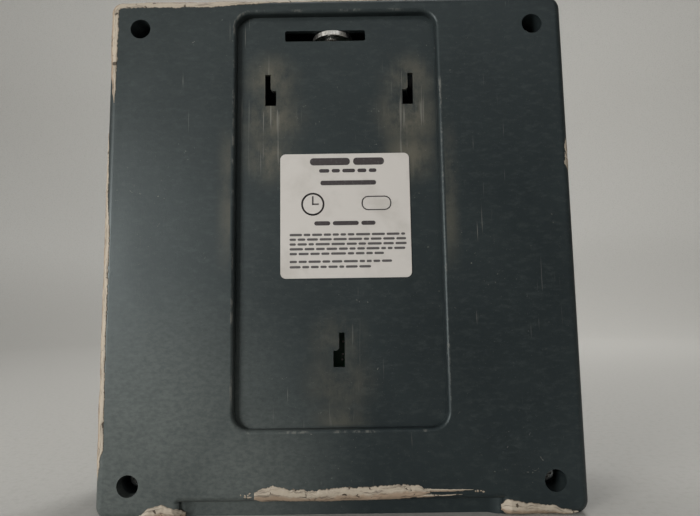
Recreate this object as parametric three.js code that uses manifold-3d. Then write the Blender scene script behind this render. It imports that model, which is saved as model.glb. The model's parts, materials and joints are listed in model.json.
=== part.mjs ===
// Employee time clock for a wall: a wedge-shaped case in two halves, with a keypad, a display,
// a card channel and, on the wall side, a bracket recess with hook slots and a cam lock.
// Millimetres, +Z up. The keypad faces -Y and the wall side faces +Y. The origin is at the middle
// of the base. The sloping front is built in its own frame: X across, Y inwards, Z up the slope.

import * as THREE from 'three';
import { mergeVertices } from 'three/addons/utils/BufferGeometryUtils.js';
import Module from 'manifold-3d';

const wasm = await Module();
wasm.setup();

// Case
const CASE_WIDTH = 185;
const CASE_HEIGHT = 205;
const DEPTH_AT_BASE = 66;
const DEPTH_AT_TOP = 44;
const CORNER_RADIUS = 5;
const EDGE_RADIUS = 3.2;
const WALL = 2.5;
const GAP = 0.3;
const BACK_Y = DEPTH_AT_BASE / 2;
const PART_LINE_Y = 11;
const LIP_WIDTH = 1.2;
const LIP_HEIGHT = 3;
const MID_Z = CASE_HEIGHT / 2;
const SLOPE = (DEPTH_AT_BASE - DEPTH_AT_TOP) / CASE_HEIGHT;
const TILT = Math.atan(SLOPE);
const FRONT_BASE_Y = -BACK_Y - EDGE_RADIUS * SLOPE;
const MARGIN = 5;
const OVERLAP = 1;
const SKIN = 0.02;
const LEAST_RADIUS = 1;

// Bracket recess, hook slots and lock slot in the wall side
const RECESS = { width: 84.5, height: 169.4, radius: 7.6, depth: 3.5, edge: 1.5, middleZ: 115.4 };
const FLOOR_Y = BACK_Y - RECESS.depth;
const FLOOR_THICKNESS = 2.2;
const HOOK = { wide: 4.5, narrow: 2.2, height: 13.3, wideHeight: 6.3, step: 0.9 };
const HOOK_PLACES = [
  { x: 27.2, z: 160.5, narrowSide: 1 },
  { x: -29, z: 160.5, narrowSide: -1 },
  { x: 0.4, z: 54.9, narrowSide: -1 },
];
const LOCK_SLOT = { left: -12, right: 21.3, bottom: 188, top: 192.6, radius: 0.8 };
const NOTCH = { top: 8.4, half: 63, floorHalf: 55, depth: 4.6, edge: 2.4 };

// Case screws in deep wells
const SCREW_X = 80;
const SCREW_Z = 90;
const WELL_RADIUS = 4.1;
const WELL_DEPTH = 12;
const WELL_WALL = 2;
const LEDGE = 2.5;
const POST_RADIUS = 4;
const POST_TRIM = 0.5;
const CASE_SCREW_CLEARANCE = 1.9;
const CASE_SCREW_PILOT = { radius: 1.8, endY: 3 };

// Screws: radius and height of the head, radius and length of the shank
const CASE_SCREW = { head: 3.2, headHeight: 2.4, shank: 1.5, length: 14 };
const BOARD_SCREW = { head: 2.7, headHeight: 1.8, shank: 1.2, length: 8 };
const PANEL_SCREW = { head: 2.3, headHeight: 1.6, shank: 0.9, length: 5 };
const CAM_SCREW = { head: 3.5, headHeight: 1.7, shank: 1, length: 3.6 };

// Cam lock in the top wall
const LOCK = { x: 1.7, y: 22, flange: 7.2, body: 6, flats: 4.7, plug: 4, seat: 2, wall: 5, block: 10.2 };
const LOCK_BODY_END = 193;
const PLUG_SET_BACK = 0.4;
const KEYWAY = { half: 0.6, back: 2.9, front: 2.4, depth: 9, wardReach: 1.3, wardBack: 0.9, wardFront: 0.2 };
const CLIP = { half: 9, back: 8, front: 4, thickness: 0.9, groove: 1, slotHeight: 1.4, slotTop: 0.2 };
const CAM = { hub: 8.5, reach: 19.2, width: 9, thickness: 2, top: 192.3, square: 5, bore: 1.3, proud: 0.1 };

// Front panel, measured from the foot of the slope
const PANEL_X = -9;
const KEY = { width: 20, height: 13, radius: 2.6, pitchX: 26, pitchZ: 20, firstZ: 34, edge: 0.8 };
const KEY_PROUD = 2;
const KEY_TRAVEL = 1.5;
const KEY_CLEARANCE = 0.4;
const KEY_SKIRT = { reach: 1.2, thickness: 1.2, overlap: 0.1 };
const KEY_ROWS = [
  ['key_clear', 'key_0', 'key_enter', 'key_break'],
  ['key_7', 'key_8', 'key_9', 'key_menu'],
  ['key_4', 'key_5', 'key_6', 'key_clock_out'],
  ['key_1', 'key_2', 'key_3', 'key_clock_in'],
];
const DISPLAY = { z: 150, viewWidth: 92, viewHeight: 27 };
const LENS = { width: 104, height: 38, radius: 2.2, thickness: 1, seat: 1.3 };
const BEZEL = { wider: 8, taller: 14, rim: 1, windowInset: 3, windowInsetZ: 2, ledge: 0.5 };
const GLASS = { wider: 5, taller: 11, thickness: 2.2, set: 0.8 };
const LAMP_Z = 184;
const LAMP = { radius: 1.6, dome: 0.7, flange: 1, flangeEnd: 4, end: 7.5 };
const LAMPS = { lamp_green: 14, lamp_red: 25 };
const SOUNDER = { x: -44, z: 184, radius: 11, height: 4, rim: 2, holes: 6, holeRadius: 0.9, ring: 4 };

// Card channel down the right side of the front
const CHANNEL = { x: 71, width: 1.8, depth: 17, wall: 2, mouth: 5, flare: 2.4 };
const HEAD = { z: 96, depth: 10, width: 7, length: 9, reach: 0.8, body: 10, shoulder: 1 };
const HEAD_SPRING = { half: 12, gap: 0.2, thickness: 0.4, width: 4 };
const READER_BRACKET = { width: 4, border: 3, half: 17, room: 0.5 };
const READER_FOOT = { reach: 3.4, z: 14, half: 1.5, halfDepth: 2.6 };

// Boards inside
const BOARD_THICKNESS = 1.6;
const MAIN_BOARD = { halfWidth: 62, bottom: 4, top: 160, y: 10.5, screwX: 54, screwZ: [26, 148] };
const KEY_BOARD = { y: 7.7, margin: 7, screwInset: 3.4 };
const KEY_MAT = { insetX: 7, insetZ: 4, radius: 3 };
const DISPLAY_BOARD = { y: 9.4, width: 112, height: 48, screwInset: 3 };
const BOARD_HOLE = 1.6;
const BOARD_POST = { radius: 3.4, pilotDepth: 9 };
const PANEL_POST = { radius: 2.6, pilot: 1.2, boardHole: 1.3 };
const PROCESSOR = { left: 2, right: 18, bottom: 84, top: 100, thickness: 1.6 };
const CELL = { x: -30, z: 70, radius: 10, thickness: 3.2, floor: 1.5 };
const CELL_HOLDER = { radius: 12, depth: 5.4, opening: 8 };
const RIBBON = { x: -29, width: 18, thickness: 0.5, steps: 20, clip: 1, slack: 0.6 };
const RIBBON_DROPS = { start: 12, bend: 12, lowest: 28, rise: 16, end: 4 };
const SOCKET_Y = MAIN_BOARD.y + BOARD_THICKNESS + GAP;
const SOCKET_FOOT = 0.5;
const SOCKET_ROOM = 0.4;
const SOCKET_MOUTH = 12;
const SOCKETS = {
  network: { x: 30, width: 16, depth: 11.6, height: 16 },
  usb: { x: 0, width: 14.4, depth: 7.2, height: 15 },
  power: { x: -28, width: 9.4, depth: 11, height: 14 },
};
const NETWORK_MOUTH = { half: 5.9, depth: 7, latchHalf: 3, latchHeight: 8 };
const USB_SHELL = 0.8;
const USB_TONGUE = { inset: 1.4, thickness: 1.8, start: 1.5 };
const POWER_MOUTH = { radius: 3.2, pin: 1.05, pinStart: 1.5, height: 11 };

// Rating label on the recess floor
const LABEL = { x: -2.8, z: 114.7, width: 52, height: 50.4, radius: 2.2, gap: 0.1, thickness: 0.3 };

// Finishes
const SLATE = { color: 0x3b4242, roughness: 0.62, metalness: 0 };
const KEY_GREY = { color: 0xb9bcb6, roughness: 0.6, metalness: 0 };
const KEY_BLUE = { color: 0x3f5d7c, roughness: 0.6, metalness: 0 };
const STEEL = { color: 0xb8b8b4, roughness: 0.35, metalness: 1 };
const ZINC = { color: 0xc4c2bb, roughness: 0.3, metalness: 1 };
const BRASS = { color: 0xc0a25c, roughness: 0.35, metalness: 1 };
const PAPER = { color: 0xc9c7c2, roughness: 0.55, metalness: 0 };
const CLEAR = { color: 0xa9b4ae, roughness: 0.08, metalness: 0 };
const LCD_GREEN = { color: 0x8fa06a, roughness: 0.25, metalness: 0 };
const RUBBER = { color: 0x4a4c4b, roughness: 0.85, metalness: 0 };
const BOARD_GREEN = { color: 0x1f5a3a, roughness: 0.5, metalness: 0 };
const BLACK = { color: 0x161717, roughness: 0.5, metalness: 0 };
const GREEN_LIGHT = { color: 0x3f9a55, roughness: 0.25, metalness: 0 };
const RED_LIGHT = { color: 0xa83a32, roughness: 0.25, metalness: 0 };

const clock = new THREE.Group();
const frontPanel = new THREE.Group();
frontPanel.position.y = FRONT_BASE_Y;
frontPanel.rotation.x = -TILT;
frontPanel.updateMatrix();
clock.add(frontPanel);

// --- Shapes and solids -------------------------------------------------------------------------

function roundedRect(width, height, radius, x = 0, y = 0) {
  const right = x + width / 2 - radius;
  const left = x - width / 2 + radius;
  const top = y + height / 2 - radius;
  const bottom = y - height / 2 + radius;
  const quarter = Math.PI / 2;
  return new THREE.Shape()
    .absarc(right, bottom, radius, -quarter, 0)
    .absarc(right, top, radius, 0, quarter)
    .absarc(left, top, radius, quarter, 2 * quarter)
    .absarc(left, bottom, radius, 2 * quarter, 3 * quarter);
}

// A prism whose outline is drawn in X and Z, from yHigh down to yLow.
function prism(outline, yHigh, yLow, curveSegments = 4) {
  const settings = { depth: yHigh - yLow, bevelEnabled: false, curveSegments };
  return new THREE.ExtrudeGeometry(outline, settings).rotateX(Math.PI / 2).translate(0, yHigh, 0);
}

// A prism whose outline is drawn in X and Y, from zLow up to zHigh.
function upright(outline, zLow, zHigh, curveSegments = 4) {
  const settings = { depth: zHigh - zLow, bevelEnabled: false, curveSegments };
  return new THREE.ExtrudeGeometry(outline, settings).translate(0, 0, zLow);
}

// A prism whose outline is drawn in Y and Z, from xLow across to the right.
function across(outline, xLow, width) {
  const turn = new THREE.Matrix4().set(0, 0, 1, xLow, 1, 0, 0, 0, 0, 1, 0, 0, 0, 0, 0, 1);
  return new THREE.ExtrudeGeometry(outline, { depth: width, bevelEnabled: false }).applyMatrix4(turn);
}

// A prism with its edges rounded at both ends; a negative edge flares its mouth instead.
function softPrism(outline, yHigh, yLow, edge, steps = 4, curveSegments = 4) {
  const thickness = Math.abs(edge);
  const settings = {
    depth: yHigh - yLow - 2 * thickness,
    bevelThickness: thickness,
    bevelSize: edge,
    bevelOffset: edge > 0 ? -edge : 0,
    bevelSegments: steps,
    curveSegments,
  };
  const geometry = new THREE.ExtrudeGeometry(outline, settings);
  return geometry.rotateX(Math.PI / 2).translate(0, yHigh - thickness, 0);
}

function box(xLow, xHigh, yLow, yHigh, zLow, zHigh) {
  const geometry = new THREE.BoxGeometry(xHigh - xLow, yHigh - yLow, zHigh - zLow);
  return geometry.translate((xLow + xHigh) / 2, (yLow + yHigh) / 2, (zLow + zHigh) / 2);
}

// A round bar along Y, at x and z, from yLow to yHigh.
function bar(radius, x, z, yLow, yHigh, sides = 16) {
  const geometry = new THREE.CylinderGeometry(radius, radius, yHigh - yLow, sides);
  return geometry.translate(x, (yLow + yHigh) / 2, z);
}

// A round bar along Z, at x and y, from zLow to zHigh.
function pillar(radius, x, y, zLow, zHigh, sides = 24) {
  const geometry = new THREE.CylinderGeometry(radius, radius, zHigh - zLow, sides);
  return geometry.rotateX(Math.PI / 2).translate(x, y, (zLow + zHigh) / 2);
}

function toSolid(geometry) {
  const bare = geometry.clone();
  bare.deleteAttribute('normal');
  bare.deleteAttribute('uv');
  const merged = mergeVertices(bare);
  const vertProperties = Float32Array.from(merged.attributes.position.array);
  const triVerts = Uint32Array.from(merged.index.array);
  return new wasm.Manifold(new wasm.Mesh({ numProp: 3, vertProperties, triVerts }));
}

function toGeometry(solid) {
  const { vertProperties, triVerts } = solid.getMesh();
  const geometry = new THREE.BufferGeometry();
  geometry.setAttribute('position', new THREE.BufferAttribute(Float32Array.from(vertProperties), 3));
  geometry.setIndex(new THREE.BufferAttribute(Uint32Array.from(triVerts), 1));
  geometry.computeVertexNormals();
  return geometry;
}

const join = (solid, geometries) => geometries.reduce((sum, each) => sum.add(toSolid(each)), solid);
const cut = (solid, geometries) => geometries.reduce((rest, each) => rest.subtract(toSolid(each)), solid);
const onFront = (geometry) => geometry.applyMatrix4(frontPanel.matrix);

function addPiece(parent, name, geometry, finish) {
  const mesh = new THREE.Mesh(geometry, new THREE.MeshStandardMaterial(finish));
  mesh.name = name;
  parent.add(mesh);
  return mesh;
}

const caseOutline = (inset) =>
  roundedRect(
    CASE_WIDTH - 2 * inset,
    CASE_HEIGHT - 2 * inset,
    Math.max(CORNER_RADIUS - inset, LEAST_RADIUS),
    0,
    MID_Z,
  );

const recessOutline = (grow) =>
  roundedRect(
    RECESS.width + 2 * grow,
    RECESS.height + 2 * grow,
    RECESS.radius + grow,
    0,
    RECESS.middleZ,
  );

const screwPlaces = [
  [-SCREW_X, MID_Z - SCREW_Z],
  [SCREW_X, MID_Z - SCREW_Z],
  [-SCREW_X, MID_Z + SCREW_Z],
  [SCREW_X, MID_Z + SCREW_Z],
];
const boardScrewPlaces = MAIN_BOARD.screwZ.flatMap((z) => [
  [-MAIN_BOARD.screwX, z],
  [MAIN_BOARD.screwX, z],
]);

// --- Rear cover --------------------------------------------------------------------------------

// A slot that takes a bracket hook: wide at the foot, with a narrow neck above one side of it.
function hookSlot({ x, z, narrowSide }) {
  const half = HOOK.wide / 2;
  const neck = half - HOOK.narrow;
  const corners = [
    [-half, 0],
    [half, 0],
    [half, HOOK.height],
    [neck, HOOK.height],
    [neck, HOOK.wideHeight + HOOK.step],
    [neck - HOOK.step, HOOK.wideHeight],
    [-half, HOOK.wideHeight],
  ];
  const points = corners.map(([side, up]) => new THREE.Vector2(x + narrowSide * side, z + up));
  return prism(new THREE.Shape(points), FLOOR_Y + MARGIN, FLOOR_Y - MARGIN);
}

// A pocket cut from the wall side, with a softly rounded mouth and a crisp floor.
function pocket(outline, depth, edge) {
  const mouth = BACK_Y + SKIN;
  const tool = toSolid(softPrism(outline, mouth, BACK_Y - depth - MARGIN, -edge));
  return cut(tool, [box(-CASE_WIDTH, CASE_WIDTH, -BACK_Y, BACK_Y - depth, -CASE_HEIGHT, 2 * CASE_HEIGHT)]);
}

// The cable notch at the foot: a rounded mouth, then a deeper floor with a ramp at each end.
function notch() {
  const { top, half, floorHalf, depth, edge } = NOTCH;
  const mouth = roundedRect(2 * half, 2 * top, edge);
  const floor = new THREE.Shape([
    new THREE.Vector2(-half, BACK_Y + SKIN),
    new THREE.Vector2(-floorHalf, BACK_Y - depth),
    new THREE.Vector2(floorHalf, BACK_Y - depth),
    new THREE.Vector2(half, BACK_Y + SKIN),
  ]);
  return pocket(mouth, edge, edge).add(toSolid(upright(floor, -MARGIN, top - edge)));
}

function rearCavity() {
  const backOfRecess = FLOOR_Y - FLOOR_THICKNESS;
  const backOfNotch = BACK_Y - NOTCH.depth - FLOOR_THICKNESS;
  const notchHalf = NOTCH.half + FLOOR_THICKNESS;
  return cut(toSolid(prism(caseOutline(WALL), BACK_Y - WALL, PART_LINE_Y - LIP_HEIGHT - MARGIN)), [
    prism(recessOutline(FLOOR_THICKNESS - RECESS.edge), BACK_Y, backOfRecess),
    box(-notchHalf, notchHalf, backOfNotch, BACK_Y, 0, NOTCH.top + FLOOR_THICKNESS),
    box(
      LOCK.x - LOCK.block,
      LOCK.x + LOCK.block,
      LOCK.y - LOCK.block,
      BACK_Y,
      CASE_HEIGHT - LOCK.wall,
      CASE_HEIGHT,
    ),
  ]);
}

// The ring at the part line where the rear cover's lip enters the front cover.
function lipRing(room) {
  const low = PART_LINE_Y - LIP_HEIGHT - room;
  const outer = toSolid(prism(caseOutline(WALL - LIP_WIDTH - room), PART_LINE_Y + OVERLAP, low));
  return cut(outer, [prism(caseOutline(WALL), PART_LINE_Y + MARGIN, PART_LINE_Y - MARGIN)]);
}

function lockHole() {
  const over = CASE_HEIGHT + OVERLAP;
  const shank = pillar(LOCK.body + GAP, LOCK.x, LOCK.y, CASE_HEIGHT - 2 * LOCK.wall, over);
  const flat = LOCK.flats + GAP;
  const between = box(-CASE_WIDTH, CASE_WIDTH, LOCK.y - flat, LOCK.y + flat, 0, 2 * CASE_HEIGHT);
  const seat = pillar(LOCK.flange + GAP, LOCK.x, LOCK.y, CASE_HEIGHT - LOCK.seat, over);
  return toSolid(shank).intersect(toSolid(between)).add(toSolid(seat));
}

function socketHole({ x, width, depth }) {
  const half = width / 2 + SOCKET_ROOM;
  const far = SOCKET_Y + depth + SOCKET_ROOM;
  return box(x - half, x + half, SOCKET_Y - SOCKET_ROOM, far, -OVERLAP, WALL + OVERLAP);
}

function makeRearCover() {
  const wellFloor = BACK_Y - WELL_DEPTH;
  const bossTop = MAIN_BOARD.y + BOARD_THICKNESS + GAP;
  const slot = LOCK_SLOT;
  const slotOutline = roundedRect(
    slot.right - slot.left,
    slot.top - slot.bottom,
    slot.radius,
    (slot.left + slot.right) / 2,
    (slot.bottom + slot.top) / 2,
  );
  const block = cut(toSolid(softPrism(caseOutline(0), BACK_Y, -MARGIN, EDGE_RADIUS)), [
    box(-CASE_WIDTH, CASE_WIDTH, -BACK_Y, PART_LINE_Y, -MARGIN, 2 * CASE_HEIGHT),
  ]);
  const shell = block.subtract(rearCavity()).add(lipRing(0));
  const bossEnd = BACK_Y - OVERLAP;
  const pilotStart = bossTop - OVERLAP;
  const bossed = join(shell, [
    ...screwPlaces.map(([x, z]) => bar(WELL_RADIUS + WELL_WALL, x, z, wellFloor - LEDGE, bossEnd)),
    ...boardScrewPlaces.map(([x, z]) => bar(BOARD_POST.radius, x, z, bossTop, bossEnd)),
  ]);
  const pocketed = bossed
    .subtract(pocket(recessOutline(0), RECESS.depth, RECESS.edge))
    .subtract(notch())
    .subtract(lockHole());
  return cut(pocketed, [
    prism(slotOutline, FLOOR_Y + MARGIN, FLOOR_Y - MARGIN, 2),
    ...HOOK_PLACES.map(hookSlot),
    ...screwPlaces.map(([x, z]) => bar(WELL_RADIUS, x, z, wellFloor, BACK_Y + OVERLAP, 24)),
    ...screwPlaces.map(([x, z]) => bar(CASE_SCREW_CLEARANCE, x, z, wellFloor - MARGIN, BACK_Y, 12)),
    ...boardScrewPlaces.map(([x, z]) =>
      bar(BOARD_HOLE, x, z, pilotStart, bossTop + BOARD_POST.pilotDepth, 12),
    ),
    ...Object.values(SOCKETS).map(socketHole),
  ]);
}

// --- Front cover -------------------------------------------------------------------------------

// A sheared prism of the case outline: its front end leans back with the sloping face.
function wedge(inset, edge) {
  const end = FRONT_BASE_Y + (inset > 0 ? inset : 0);
  const outline = caseOutline(inset);
  const far = BACK_Y + 2 * MARGIN;
  const body = edge > 0 ? softPrism(outline, far, end, edge) : prism(outline, far, end);
  return body.applyMatrix4(new THREE.Matrix4().makeShear(0, 0, 0, 0, 0, SLOPE));
}

function keyPlaces() {
  return KEY_ROWS.flatMap((row, rowIndex) =>
    row.map((name, column) => ({
      name,
      x: PANEL_X + (column - (row.length - 1) / 2) * KEY.pitchX,
      z: KEY.firstZ + rowIndex * KEY.pitchZ,
    })),
  );
}

function keyHole({ x, z }) {
  const room = 2 * KEY_CLEARANCE;
  const outline = roundedRect(KEY.width + room, KEY.height + room, KEY.radius + KEY_CLEARANCE, x, z);
  return onFront(prism(outline, WALL + OVERLAP, -OVERLAP, 2));
}

// The groove a card is swiped through, from top to bottom, with a flared mouth.
function channelCuts() {
  const half = CHANNEL.width / 2;
  const mouth = CHANNEL.mouth / 2;
  const flare = new THREE.Shape([
    new THREE.Vector2(CHANNEL.x - mouth, -SKIN),
    new THREE.Vector2(CHANNEL.x + mouth, -SKIN),
    new THREE.Vector2(CHANNEL.x + half, CHANNEL.flare),
    new THREE.Vector2(CHANNEL.x - half, CHANNEL.flare),
  ]);
  const bottom = -4 * MARGIN;
  const top = CASE_HEIGHT + 4 * MARGIN;
  return [
    onFront(box(CHANNEL.x - half, CHANNEL.x + half, -MARGIN, CHANNEL.depth, bottom, top)),
    onFront(upright(flare, bottom, top)),
  ];
}

function channelWalls() {
  const half = CHANNEL.width / 2 + CHANNEL.wall;
  const depth = CHANNEL.depth + CHANNEL.wall;
  const top = CASE_HEIGHT + 4 * MARGIN;
  return onFront(box(CHANNEL.x - half, CHANNEL.x + half, -MARGIN, depth, -4 * MARGIN, top));
}

function headWindow() {
  const room = 2 * GAP;
  return onFront(
    box(
      CHANNEL.x - CHANNEL.width - 2 * CHANNEL.wall,
      CHANNEL.x,
      HEAD.depth - HEAD.width / 2 - room,
      HEAD.depth + HEAD.width / 2 + room,
      HEAD.z - HEAD.length / 2 - room,
      HEAD.z + HEAD.length / 2 + room,
    ),
  );
}

function sounderHoles() {
  const { holes, holeRadius, ring } = SOUNDER;
  const turns = Array.from({ length: holes }, (_, index) => (index / holes) * 2 * Math.PI);
  const places = [[0, 0], ...turns.map((turn) => [ring * Math.cos(turn), ring * Math.sin(turn)])];
  return places.map(([x, z]) =>
    onFront(bar(holeRadius, SOUNDER.x + x, SOUNDER.z + z, -OVERLAP, WALL + OVERLAP, 10)),
  );
}

const keyBoardEdges = () => ({
  left: PANEL_X - 1.5 * KEY.pitchX - KEY.width / 2 - KEY_BOARD.margin,
  right: PANEL_X + 1.5 * KEY.pitchX + KEY.width / 2 + KEY_BOARD.margin,
  bottom: KEY.firstZ - KEY.height / 2 - KEY_BOARD.margin,
  top: KEY.firstZ + 3 * KEY.pitchZ + KEY.height / 2 + KEY_BOARD.margin,
});

function keyBoardScrews() {
  const { left, right, bottom, top } = keyBoardEdges();
  const inset = KEY_BOARD.screwInset;
  return [
    [left + inset, bottom + inset],
    [right - inset, bottom + inset],
    [left + inset, top - inset],
    [right - inset, top - inset],
  ];
}

const displayScrews = () => {
  const reach = DISPLAY_BOARD.width / 2 - DISPLAY_BOARD.screwInset;
  return [-1, 1].map((side) => [PANEL_X + side * reach, DISPLAY.z]);
};

// Bars that stand on the inside of the front panel behind each place, or are bored into it.
const panelBars = (places, radius, start, end, sides) =>
  places.map(([x, z]) => onFront(bar(radius, x, z, start, end, sides)));

function frontShell() {
  const outer = cut(toSolid(wedge(0, EDGE_RADIUS)), [
    box(-CASE_WIDTH, CASE_WIDTH, PART_LINE_Y - GAP, 3 * BACK_Y, -CASE_HEIGHT, 2 * CASE_HEIGHT),
  ]);
  const cavity = toSolid(wedge(WALL, 0)).subtract(toSolid(channelWalls()));
  const postEnd = BACK_Y - WELL_DEPTH - LEDGE - GAP;
  const trim = toSolid(wedge(POST_TRIM, 0));
  const posts = screwPlaces.map(([x, z]) =>
    toSolid(bar(POST_RADIUS, x, z, FRONT_BASE_Y, postEnd)).intersect(trim),
  );
  return posts.reduce((sum, post) => sum.add(post), outer.subtract(cavity));
}

// The openings in the front panel: channel, keys, display, lamps and sounder.
function panelCuts() {
  const { width, height, radius, seat } = LENS;
  const { z, viewWidth, viewHeight } = DISPLAY;
  const room = 2 * GAP;
  const through = WALL + OVERLAP;
  const lensOutline = roundedRect(width + room, height + room, radius + GAP, PANEL_X, z);
  const viewOutline = roundedRect(viewWidth, viewHeight, LEAST_RADIUS, PANEL_X, z);
  return [
    ...channelCuts(),
    headWindow(),
    ...keyPlaces().map(keyHole),
    onFront(prism(lensOutline, seat, -OVERLAP, 3)),
    onFront(prism(viewOutline, through, -OVERLAP, 1)),
    ...Object.values(LAMPS).map((x) =>
      onFront(bar(LAMP.radius + GAP, x, LAMP_Z, -OVERLAP, through, 14)),
    ),
    ...sounderHoles(),
  ];
}

function makeFrontCover() {
  const { radius, pilot } = PANEL_POST;
  const keyPosts = panelBars(keyBoardScrews(), radius, WALL - OVERLAP, KEY_BOARD.y - GAP, 12);
  const displayPosts = panelBars(displayScrews(), radius, WALL - OVERLAP, DISPLAY_BOARD.y - GAP, 12);
  const shell = join(frontShell(), [...keyPosts, ...displayPosts]);
  const casePilots = screwPlaces.map(([x, z]) =>
    bar(CASE_SCREW_PILOT.radius, x, z, CASE_SCREW_PILOT.endY, BACK_Y, 12),
  );
  return cut(shell.subtract(lipRing(GAP)), [
    ...panelCuts(),
    ...casePilots,
    ...panelBars(keyBoardScrews(), pilot, WALL, KEY_BOARD.y + OVERLAP, 8),
    ...panelBars(displayScrews(), pilot, WALL, DISPLAY_BOARD.y + OVERLAP, 8),
  ]);
}

// --- Screws ------------------------------------------------------------------------------------

// A pan-head screw with a cross recess. Its head rests at y = 0 and faces +Y.
function panScrew({ head, headHeight, shank, length }, sides = 12) {
  const profile = [
    new THREE.Vector2(0, -length),
    new THREE.Vector2(shank * 0.5, -length),
    new THREE.Vector2(shank, -length + shank),
    new THREE.Vector2(shank, 0),
    new THREE.Vector2(head, 0),
    new THREE.Vector2(head, headHeight * 0.5),
    new THREE.Vector2(head * 0.8, headHeight * 0.88),
    new THREE.Vector2(0, headHeight),
  ];
  const arm = head * 0.55;
  const half = head * 0.12;
  const floor = headHeight * 0.4;
  const crossTop = headHeight + OVERLAP;
  const screw = cut(toSolid(new THREE.LatheGeometry(profile, sides)), [
    box(-arm, arm, floor, crossTop, -half, half),
    box(-half, half, floor, crossTop, -arm, arm),
  ]);
  return toGeometry(screw);
}

function addCaseScrews() {
  const seat = BACK_Y - WELL_DEPTH + GAP;
  screwPlaces.forEach(([x, z], index) => {
    const screw = addPiece(clock, `case_screw_${index + 1}`, panScrew(CASE_SCREW), STEEL);
    screw.position.set(x, seat, z);
  });
}

function addBoardScrews() {
  boardScrewPlaces.forEach(([x, z], index) => {
    const screw = addPiece(clock, `board_screw_${index + 1}`, panScrew(BOARD_SCREW, 8), STEEL);
    screw.rotation.x = Math.PI;
    screw.position.set(x, MAIN_BOARD.y - GAP, z);
  });
}

function addFrontScrews(prefix, places, y) {
  places.forEach(([x, z], index) => {
    const screw = addPiece(frontPanel, `${prefix}_${index + 1}`, panScrew(PANEL_SCREW, 8), STEEL);
    screw.position.set(x, y + BOARD_THICKNESS + GAP, z);
  });
}

// --- Cam lock ----------------------------------------------------------------------------------

// A box about the lock's middle, from half widths across and in depth.
const lockBox = (halfX, halfY, zLow, zHigh) =>
  box(LOCK.x - halfX, LOCK.x + halfX, LOCK.y - halfY, LOCK.y + halfY, zLow, zHigh);

function makeLockBody() {
  const shank = toSolid(pillar(LOCK.body, LOCK.x, LOCK.y, LOCK_BODY_END, CASE_HEIGHT - OVERLAP));
  const between = lockBox(CASE_WIDTH, LOCK.flats, 0, 2 * CASE_HEIGHT);
  const flangeLow = CASE_HEIGHT - LOCK.seat + GAP;
  const flange = pillar(LOCK.flange, LOCK.x, LOCK.y, flangeLow, CASE_HEIGHT, 32);
  const grooveTop = CASE_HEIGHT - LOCK.wall - CLIP.slotTop;
  const groove = lockBox(LOCK.body + OVERLAP, LOCK.body, grooveTop - CLIP.slotHeight, grooveTop);
  const core = lockBox(LOCK.body - CLIP.groove, LOCK.body, 0, CASE_HEIGHT);
  const grooves = toSolid(groove).subtract(toSolid(core));
  const body = shank.intersect(toSolid(between)).subtract(grooves).add(toSolid(flange));
  return cut(body, [pillar(LOCK.plug + GAP, LOCK.x, LOCK.y, 0, 2 * CASE_HEIGHT)]);
}

function makeLockPlug() {
  const { half, back, front, depth, wardReach, wardBack, wardFront } = KEYWAY;
  const { x, y } = LOCK;
  const low = CAM.top + PLUG_SET_BACK;
  const barrel = toSolid(pillar(LOCK.plug, x, y, low, CASE_HEIGHT - PLUG_SET_BACK));
  const shankLow = CAM.top - CAM.thickness - CAM.proud;
  const shank = lockBox(CAM.square / 2, CAM.square / 2, shankLow, CAM.top + OVERLAP);
  const floor = CASE_HEIGHT - depth;
  const keyway = box(x - half, x + half, y - back, y + front, floor, CASE_HEIGHT + OVERLAP);
  const ward = box(x, x + wardReach, y - wardBack, y + wardFront, floor, CASE_HEIGHT + OVERLAP);
  const screwBore = pillar(CAM.bore, x, y, shankLow - OVERLAP, CAM.top + 2 * OVERLAP, 12);
  return cut(join(barrel, [shank]), [keyway, ward, screwBore]);
}

// A flat cam: a round hub with a tongue that points into the case while the lock is open.
function makeLockCam() {
  const { hub, reach, width, thickness, top, square } = CAM;
  const low = top - thickness;
  const half = square / 2 + GAP;
  const disc = toSolid(pillar(hub, LOCK.x, LOCK.y, low, top, 40));
  const tongue = box(LOCK.x - width / 2, LOCK.x + width / 2, LOCK.y - 2 * reach, LOCK.y, low, top);
  const sweep = pillar(reach, LOCK.x, LOCK.y, low, top, 48);
  const body = disc.add(toSolid(tongue).intersect(toSolid(sweep)));
  return cut(body, [lockBox(half, half, low - OVERLAP, top + OVERLAP)]);
}

// The forked spring clip that holds the lock body from inside the case.
function makeLockClip() {
  const top = CASE_HEIGHT - LOCK.wall - GAP;
  const neck = LOCK.body - CLIP.groove + GAP;
  const corners = [
    [-CLIP.half, -CLIP.back],
    [CLIP.half, -CLIP.back],
    [CLIP.half, CLIP.front],
    [neck, CLIP.front],
    [neck, -LOCK.flats - GAP],
    [-neck, -LOCK.flats - GAP],
    [-neck, CLIP.front],
    [-CLIP.half, CLIP.front],
  ];
  const points = corners.map(([side, back]) => new THREE.Vector2(LOCK.x + side, LOCK.y + back));
  return upright(new THREE.Shape(points), top - CLIP.thickness, top);
}

function addLock() {
  addPiece(clock, 'lock_body', toGeometry(makeLockBody()), ZINC);
  addPiece(clock, 'lock_plug', toGeometry(makeLockPlug()), BRASS);
  addPiece(clock, 'lock_cam', toGeometry(makeLockCam()), ZINC);
  addPiece(clock, 'lock_clip', makeLockClip(), STEEL);
  const screw = addPiece(clock, 'cam_screw', panScrew(CAM_SCREW), STEEL);
  screw.rotation.x = -Math.PI / 2;
  screw.position.set(LOCK.x, LOCK.y, CAM.top - CAM.thickness - CAM.proud - GAP);
}

// --- Front panel -------------------------------------------------------------------------------

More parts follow.
